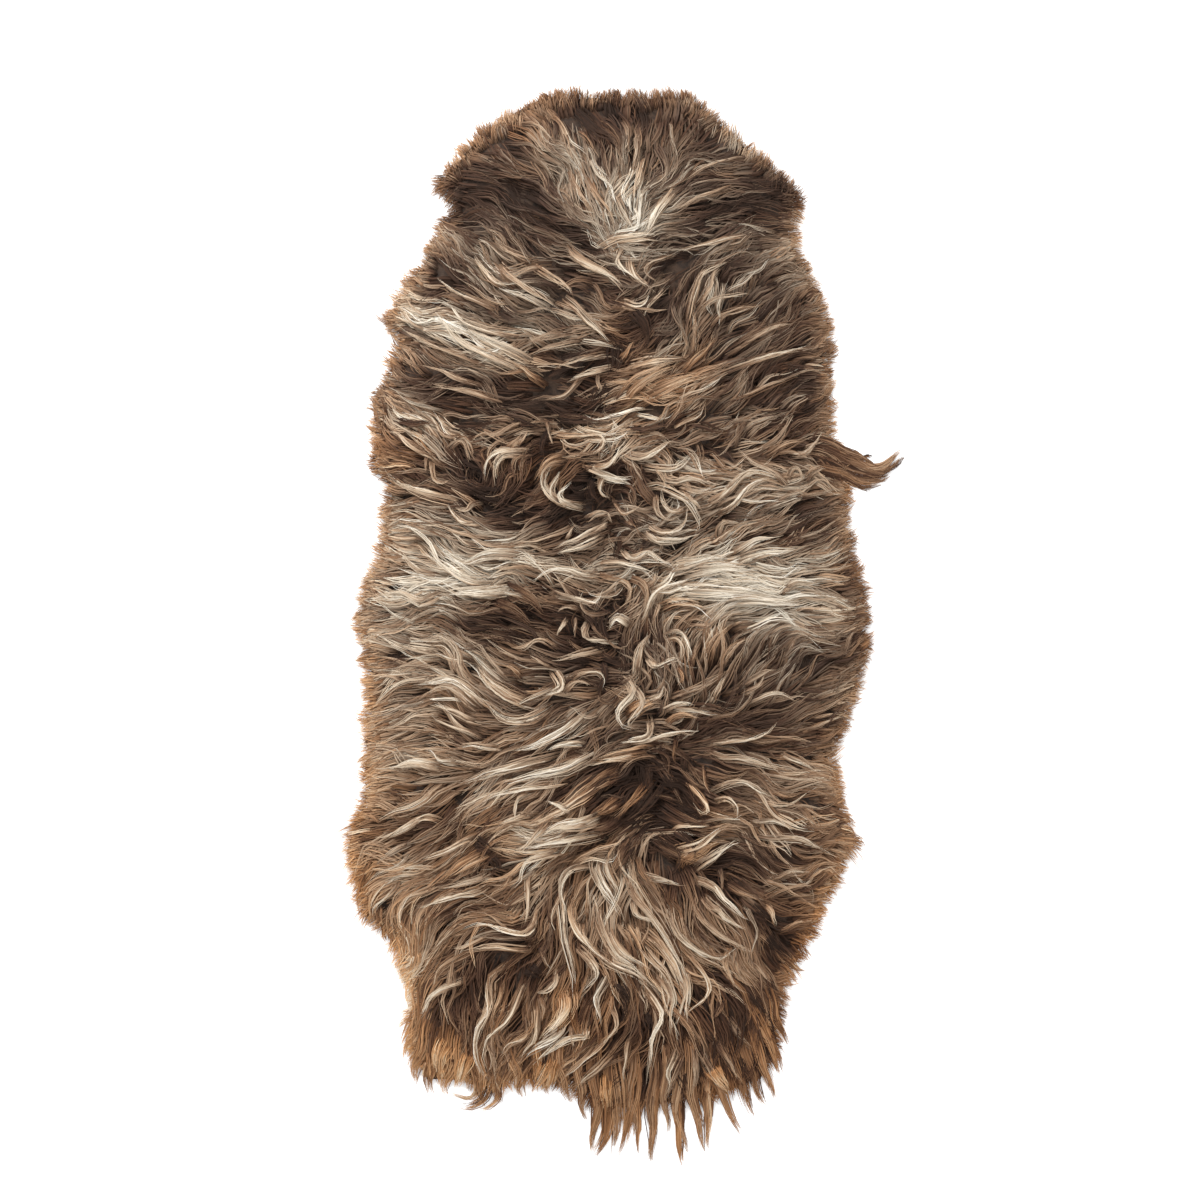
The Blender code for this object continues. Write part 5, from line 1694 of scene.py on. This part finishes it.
@dataclass
class MattedWool:
    """The felted foot of the wool, which closes the view between the locks down to the hide."""

    coat: Coat
    across: int = 64
    along: int = 128
    inset: float = 0.016
    tail_inset: float = 0.028
    share_of_pile: float = 0.50
    clump: float = 0.0030
    bottom: float = 0.0030
    edge_top: float = 0.0036
    lowest_top: float = 0.0045
    side_slope: float = 12.0
    end_slope: float = 25.0

    def build(self) -> bpy.types.Object:
        """Make the matted wool.

        Returns:
            The dressed piece.
        """
        pile = self.coat.pile
        ends = (TAIL_END_Y + self.tail_inset, NECK_END_Y - self.inset)
        x, y, share_x, share_y = skin_grid(pile, ends, self.inset, self.across, self.along)
        clumps = SoftNoise(SEED + 11, 0.016).at(x, y) + 0.5 * SoftNoise(SEED + 12, 0.007).at(x, y)
        top = pile.height(x, y) * self.share_of_pile + self.clump * clumps
        from_side = np.minimum(share_x, 1.0 - share_x) * self.side_slope
        from_end = np.minimum(share_y, 1.0 - share_y) * self.end_slope
        slope = np.clip(np.minimum(from_side, from_end), 0.0, 1.0)
        top = self.edge_top + (np.maximum(top, self.lowest_top) - self.edge_top) * slope
        piece = closed_sheet("matted_wool", x, y, self.bottom, top)
        piece.data.materials.append(MATTED_FINISH.material())
        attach(piece, "root")
        return piece


@dataclass
class Fleece:
    """The wool over the hide: under wool, brown locks, pale wisps and the tangle along the spine."""

    coat: Coat
    maker: StrandMesh
    wool: bpy.types.Material
    under_tries: int = 1950
    middle_tries: int = 2250
    wisp_tries: int = 2700
    tangle_tries: int = 1500
    inset: float = 0.020
    tail_inset: float = 0.044
    root_jitter: float = 0.003
    wisps_kept: float = 0.62
    kept_where_pale: float = 1.9
    least_kept: float = 0.12
    tangle_ends: tuple = (-0.21, 0.30)
    tangle_width: float = 0.034
    crossing_y: float = 0.212
    crossing_width: float = 0.018
    crossing_reach: float = 0.10

    def build_layer(self, title: str, roots: np.ndarray, bands: int, style: LockStyle, seed: int) -> list:
        """Make one layer of the coat, in bands from neck to tail.

        Args:
            title: first word of the pieces' names.
            roots: where the locks are rooted.
            bands: how many pieces the layer is parted into.
            style: the build of the locks.
            seed: seed of the draw.

        Returns:
            The pieces.
        """
        rng = np.random.default_rng(SEED + seed)
        roots = roots[np.argsort(-roots[:, 1])]
        roots = roots + rng.normal(0.0, self.root_jitter, roots.shape)
        pieces = []
        for band, share in enumerate(np.array_split(roots, bands)):
            guides = self.coat.lay(share, style, rng)
            strands = self.maker.strands(guides, style, rng)
            pieces.append(dress(self.maker.build(f"{title}_{band + 1}", [strands]), self.wool))
        return pieces

    def thin(self, roots: np.ndarray, seed: int) -> np.ndarray:
        """Leave out pale wisps where the coat is dark.

        Args:
            roots: where wisps may be rooted.
            seed: seed of the draw.

        Returns:
            The roots that stay.
        """
        keep = self.wisps_kept + self.kept_where_pale * self.coat.pale.at(roots[:, 0], roots[:, 1])
        chance = np.random.default_rng(SEED + seed).uniform(0.0, 1.0, len(roots))
        return roots[chance < np.clip(keep, self.least_kept, 1.0)]

    def along_spine(self, roots: np.ndarray, seed: int) -> np.ndarray:
        """Keep the roots of the tangle that runs down the middle of the back.

        Args:
            roots: evenly spread roots.
            seed: seed of the draw.

        Returns:
            The roots close to the parting, between shoulder and loin, and along the break.
        """
        aside = np.abs(roots[:, 0] - self.coat.comb.spine(roots[:, 1]))
        back = (roots[:, 1] < self.tangle_ends[1]) & (roots[:, 1] > self.tangle_ends[0])
        crossing = np.exp(-(((roots[:, 1] - self.crossing_y) / self.crossing_width) ** 2))
        crossing = crossing * (aside < self.crossing_reach)
        keep = np.maximum(np.exp(-((aside / self.tangle_width) ** 2)) * back, 0.8 * crossing)
        chance = np.random.default_rng(SEED + seed).uniform(0.0, 1.0, len(roots))
        return roots[chance < keep]

    def build(self) -> list:
        """Make all the wool over the hide.

        Returns:
            The pieces.
        """
        tries = (self.under_tries, self.middle_tries, self.wisp_tries, self.tangle_tries)
        under, middle, wisps, tangle = (
            self.coat.scatter(count, self.inset, self.tail_inset, start)
            for count, start in zip(tries, (100, 7000, 12000, 20000))
        )
        wisps = self.thin(wisps, 21)
        tangle = self.along_spine(tangle, 22)
        pieces = self.build_layer("under_wool", under, 2, UNDER_STYLE, 11)
        pieces += self.build_layer("brown_locks", middle, 3, MIDDLE_STYLE, 12)
        pieces += self.build_layer("pale_wisps", wisps, 2, WISP_STYLE, 13)
        pieces += self.build_layer("spine_tangle", tangle, 1, TANGLE_STYLE, 14)
        return pieces


@dataclass
class PlacedLocks:
    """Locks that follow drawn routes: the curls that show, the hind fringe, the stray tuft."""

    coat: Coat
    maker: StrandMesh
    wool: bpy.types.Material
    broad: float = 6.0
    root_run: float = 0.010
    short_lock: float = 0.060
    short_shade: float = 0.30
    swell_share: float = 0.55
    warmth_gain: float = 1.12
    warmth_power: float = 1.5

    def smooth(self, route: tuple, shares: np.ndarray) -> np.ndarray:
        """Round a route off and read it at given shares of its length.

        Args:
            route: x and y in turn, in millimetres, root to tip.
            shares: where along the route the points are, 0 to 1.

        Returns:
            Rows of x and y in metres.
        """
        ends = np.array(route, dtype=float).reshape(-1, 2) * MM
        start = ends[0] - ends[1]
        ends[0] += self.root_run * start / np.linalg.norm(start)
        padded = np.concatenate([[2.0 * ends[0] - ends[1]], ends, [2.0 * ends[-1] - ends[-2]]])
        share = np.linspace(0.0, len(ends) - 1.001, 20 * len(ends))
        leg = share.astype(int)
        part = (share - leg)[:, None]
        one, two, three, four = (padded[leg + step] for step in range(4))
        fine = 0.5 * (
            2.0 * two
            + (three - one) * part
            + (2.0 * one - 5.0 * two + 4.0 * three - four) * part**2
            + (3.0 * two - one - 3.0 * three + four) * part**3
        )
        travel = np.concatenate([[0.0], np.cumsum(np.linalg.norm(np.diff(fine, axis=0), axis=1))])
        even = shares * travel[-1]
        return np.stack([np.interp(even, travel, fine[:, 0]), np.interp(even, travel, fine[:, 1])], axis=1)

    def spray(self, strokes: list, style: LockStyle, rng: np.random.Generator) -> tuple:
        """Lay each lock along its route as a few parallel sprays that close up towards the tip.

        Args:
            strokes: the locks.
            style: the build of the sprays; its radii and tones count from each lock's own.
            rng: the seeded draw.

        Returns:
            The strands of all locks.
        """
        share = style.shares()
        rows = []
        for stroke in strokes:
            rows += [stroke] * (style.sprays + int(stroke.radius * style.sprays_per_mm))
        count = len(rows)
        first = rng.uniform(0.0, style.stagger, count)
        last = 1.0 - rng.uniform(0.0, style.stagger, count)
        path = np.zeros((count, style.steps + 1, 3))
        for row, stroke in enumerate(rows):
            path[row, :, :2] = self.smooth(stroke.route, first[row] + (last[row] - first[row]) * share)
        radius = np.array([stroke.radius for stroke in rows]) * MM
        aside = (style.wander * radius * rng.uniform(-1.0, 1.0, count))[:, None]
        aside = aside * (1.0 - style.close * share**2)
        length = np.linalg.norm(np.diff(path[:, :, :2], axis=1), axis=2).sum(axis=1)
        phase = math.tau * self.coat.phase.at(path[:, 0, 0], path[:, 0, 1]) + rng.normal(0.0, 0.5, count)
        turns = (length / style.wave_length)[:, None] * share
        aside = aside + style.wave_height * np.sin(math.tau * turns + phase[:, None]) * share
        path[:, :, :2] += sideways(path) * aside[:, :, None]
        tone = np.array([stroke.tone for stroke in rows])
        lift = style.lift_low + (style.lift_high - style.lift_low) * tone
        self.coat.stack(path, lift * rng.uniform(0.95, 1.05, count), share)
        shade = self.short_shade * np.clip(1.0 - length / self.short_lock, 0.0, 1.0)
        tone = tone + rng.normal(0.0, style.lock_jitter, count) - shade
        ramp = style.root_tone + (style.tip_tone - style.root_tone) * ease(share / self.swell_share)
        warmth = self.warmth_gain * np.array([stroke.warmth for stroke in rows]) ** self.warmth_power
        warmth = np.repeat(warmth[:, None], len(share), axis=1)
        return self.maker.strands(Guides(path, tone[:, None] + ramp, warmth, radius), style, rng)

    def build(self, name: str, strokes: tuple, seed: int, styles: tuple) -> bpy.types.Object:
        """Make one piece of locks from their routes, with a dense sheet under the broad ones.

        Args:
            name: the piece's name.
            strokes: the locks.
            seed: seed of the draw.
            styles: the layers that every lock has, from the lowest up.

        Returns:
            The dressed piece.
        """
        rng = np.random.default_rng(SEED + seed)
        broad = [stroke for stroke in strokes if stroke.radius >= self.broad]
        parts = [self.spray(broad, SHEET_STYLE, rng)] if broad and SHADE_VEIL_STYLE in styles else []
        parts += [self.spray(strokes, style, rng) for style in styles]
        return dress(self.maker.build(name, parts), self.wool)


@dataclass
class RimWool:
    """The short wool that overhangs the hide's edge all round and lies on the floor."""

    coat: Coat
    maker: StrandMesh
    wool: bpy.types.Material
    spacing: float = 0.0028
    deepest: float = 0.036
    shallowest: float = 0.012
    overshoot: float = 0.011
    clumping: float = 0.60
    tail_inset: float = 0.010
    root_jitter: float = 0.003
    lean_share: float = 0.45
    lean_jitter: float = 0.28
    most_lean: float = 0.9
    lowest_middle: float = 0.0008

    def border(self) -> tuple:
        """Walk round the wool's outline.

        Returns:
            Places along the outline and the outward direction at each.
        """
        left = [(station.left * MM, station.y * MM) for station in STATIONS[:-1]]
        tail = [(end.x * MM, end.y * MM + self.tail_inset) for end in TAIL_ENDS[1:-2]]
        right = [(station.right * MM, station.y * MM) for station in reversed(STATIONS[:-1])]
        corners = np.array(left + tail + right)
        runs = np.roll(corners, -1, axis=0) - corners
        lengths = np.linalg.norm(runs, axis=1)
        total = lengths.sum()
        travel = np.linspace(0.0, total, int(total / self.spacing), endpoint=False)
        starts = np.concatenate([[0.0], np.cumsum(lengths)[:-1]])
        side = np.searchsorted(starts, travel, side="right") - 1
        part = (travel - starts[side]) / lengths[side]
        places = corners[side] + runs[side] * part[:, None]
        way = runs[side] / lengths[side][:, None]
        smooth = way.copy()
        for shift in range(1, 8):
            smooth += np.roll(way, shift, axis=0) + np.roll(way, -shift, axis=0)
        smooth /= np.linalg.norm(smooth, axis=1, keepdims=True)
        return places, np.stack([smooth[:, 1], -smooth[:, 0]], axis=1)

    def build(self) -> bpy.types.Object:
        """Make the rim wool.

        Returns:
            The dressed piece.
        """
        rng = np.random.default_rng(SEED + 31)
        style = RIM_STYLE
        places, outward = self.border()
        count = len(places)
        inset = rng.uniform(self.shallowest, self.deepest, count)
        along = np.stack([-outward[:, 1], outward[:, 0]], axis=1)
        roots = places - outward * inset[:, None] + along * rng.normal(0.0, self.root_jitter, count)[:, None]
        comb = self.coat.comb.way(roots[:, 0], roots[:, 1])
        lean = np.cos(comb) * along[:, 0] + np.sin(comb) * along[:, 1]
        lean = self.lean_share * lean + rng.normal(0.0, self.lean_jitter, count)
        lean = np.clip(lean, -self.most_lean, self.most_lean)
        clump = SoftNoise(SEED + 33, 0.012).at(places[:, 0], places[:, 1])
        over = self.overshoot * (self.clumping * clump + rng.uniform(-0.75, 0.50, count))
        reach = inset + over
        share = style.shares()
        bend = share[None, :] ** 1.6 * lean[:, None] * reach[:, None]
        path = np.zeros((count, style.steps + 1, 3))
        flat = roots[:, None, :] + outward[:, None, :] * (reach[:, None] * share)[..., None]
        path[:, :, :2] = flat + along[:, None, :] * bend[..., None]
        lift = rng.uniform(style.lift_low, style.lift_high, count)
        self.coat.stack(path, lift, share)
        path[:, :, 2] = np.maximum(path[:, :, 2], self.lowest_middle)
        tone, warmth = self.coat.colour(path, share, style, rng)
        strands = self.maker.strands(Guides(path, tone, warmth, np.ones(count)), style, rng)
        return dress(self.maker.build("rim_wool", [strands]), self.wool)


@dataclass
class Studio:
    """Pale floor, soft lights and the camera square above the skin."""

    frame_width: float = 1.440
    centre_x: float = -0.0228
    centre_y: float = 0.0306
    camera_height: float = 5.0
    sensor: float = 36.0
    floor_side: float = 12.0
    floor_grey: float = 0.90
    floor_roughness: float = 0.9
    floor_glow: float = 0.25
    sky_strength: float = 0.70

    def floor(self) -> None:
        """Lay the floor."""
        bpy.ops.mesh.primitive_plane_add(size=self.floor_side, location=(0.0, 0.0, 0.0))
        floor = bpy.context.object
        floor.name = "floor"
        material, _, shader = start_material("floor")
        shader.inputs["Base Color"].default_value = (self.floor_grey, self.floor_grey, self.floor_grey, 1.0)
        shader.inputs["Roughness"].default_value = self.floor_roughness
        shader.inputs["Emission Color"].default_value = (1.0, 1.0, 1.0, 1.0)
        shader.inputs["Emission Strength"].default_value = self.floor_glow
        floor.data.materials.append(material)

    def lamp(self, name: str, place: tuple, size: float, power: float) -> None:
        """Add one soft square lamp aimed at the skin.

        Args:
            name: the lamp's name.
            place: where it stands.
            size: its side.
            power: its power in watts.
        """
        data = bpy.data.lights.new(name, "AREA")
        data.shape = "SQUARE"
        data.size = size
        data.energy = power
        lamp = put_in_scene(name, data)
        lamp.location = place
        lamp.rotation_euler = (-lamp.location).to_track_quat("-Z", "Y").to_euler()

    def build(self) -> None:
        """Set up floor, world, lamps and camera."""
        self.floor()
        scene = bpy.context.scene
        world = bpy.data.worlds.new("studio")
        world.use_nodes = True
        sky = world.node_tree.nodes["Background"]
        sky.inputs["Color"].default_value = (1.0, 1.0, 1.0, 1.0)
        sky.inputs["Strength"].default_value = self.sky_strength
        scene.world = world
        self.lamp("key", (-1.6, 2.6, 2.3), 2.0, 180.0)
        self.lamp("fill", (2.6, -1.2, 2.8), 2.4, 40.0)
        scene.view_settings.view_transform = "Standard"
        data = bpy.data.cameras.new("camera")
        data.sensor_width = self.sensor
        data.lens = self.sensor * self.camera_height / self.frame_width
        camera = put_in_scene("camera", data)
        camera.location = (self.centre_x, self.centre_y, self.camera_height)
        scene.camera = camera


def report(pieces: list) -> None:
    """Log each piece's size in triangles.

    Args:
        pieces: the pieces.
    """
    for piece in pieces:
        LOG.info("%s: %d triangles", piece.name, 2 * len(piece.data.polygons))


def main() -> None:
    """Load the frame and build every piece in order."""
    logging.basicConfig(level=logging.INFO, format="%(name)s %(message)s")
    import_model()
    Studio().build()
    coat = Coat()
    maker = StrandMesh()
    wool = WoolFinish().material()
    pieces = [Hide(coat.pile).build(), MattedWool(coat).build()]
    pieces += Fleece(coat, maker, wool).build()
    pieces.append(RimWool(coat, maker, wool).build())
    placed = PlacedLocks(coat, maker, wool)
    pieces.append(placed.build("hind_fringe", HIND_LOCKS, 41, (FOOT_STYLE, HIND_STYLE)))
    pieces.append(placed.build("stray_tuft", TUFT_LOCKS, 42, (TUFT_STYLE,)))
    # Painted shade along the coat's creases.
    pieces.append(placed.build("painted_crease_shade", CREASE_SHADE_STROKES, 43, (CREASE_SHADE_STYLE,)))
    regions = (
        ("neck_curls", NECK_STROKES, PLACED_STYLE),
        ("shoulder_curls", SHOULDER_STROKES, PLACED_STYLE),
        ("break_curls", BREAK_STROKES, PLACED_STYLE),
        ("back_curls", BACK_STROKES, PLACED_STYLE),
        ("loin_curls", LOIN_STROKES, PALE_STYLE),
        ("rump_curls", RUMP_STROKES, PALE_STYLE),
        ("tail_curls", TAIL_STROKES, PALE_STYLE),
    )
    # Every curl lock lies over its veil of painted shade.
    for seed, (name, strokes, style) in enumerate(regions, start=51):
        pieces.append(placed.build(name, strokes, seed, (SHADE_VEIL_STYLE, style)))
    report(pieces)


if __name__ == "__main__":
    main()
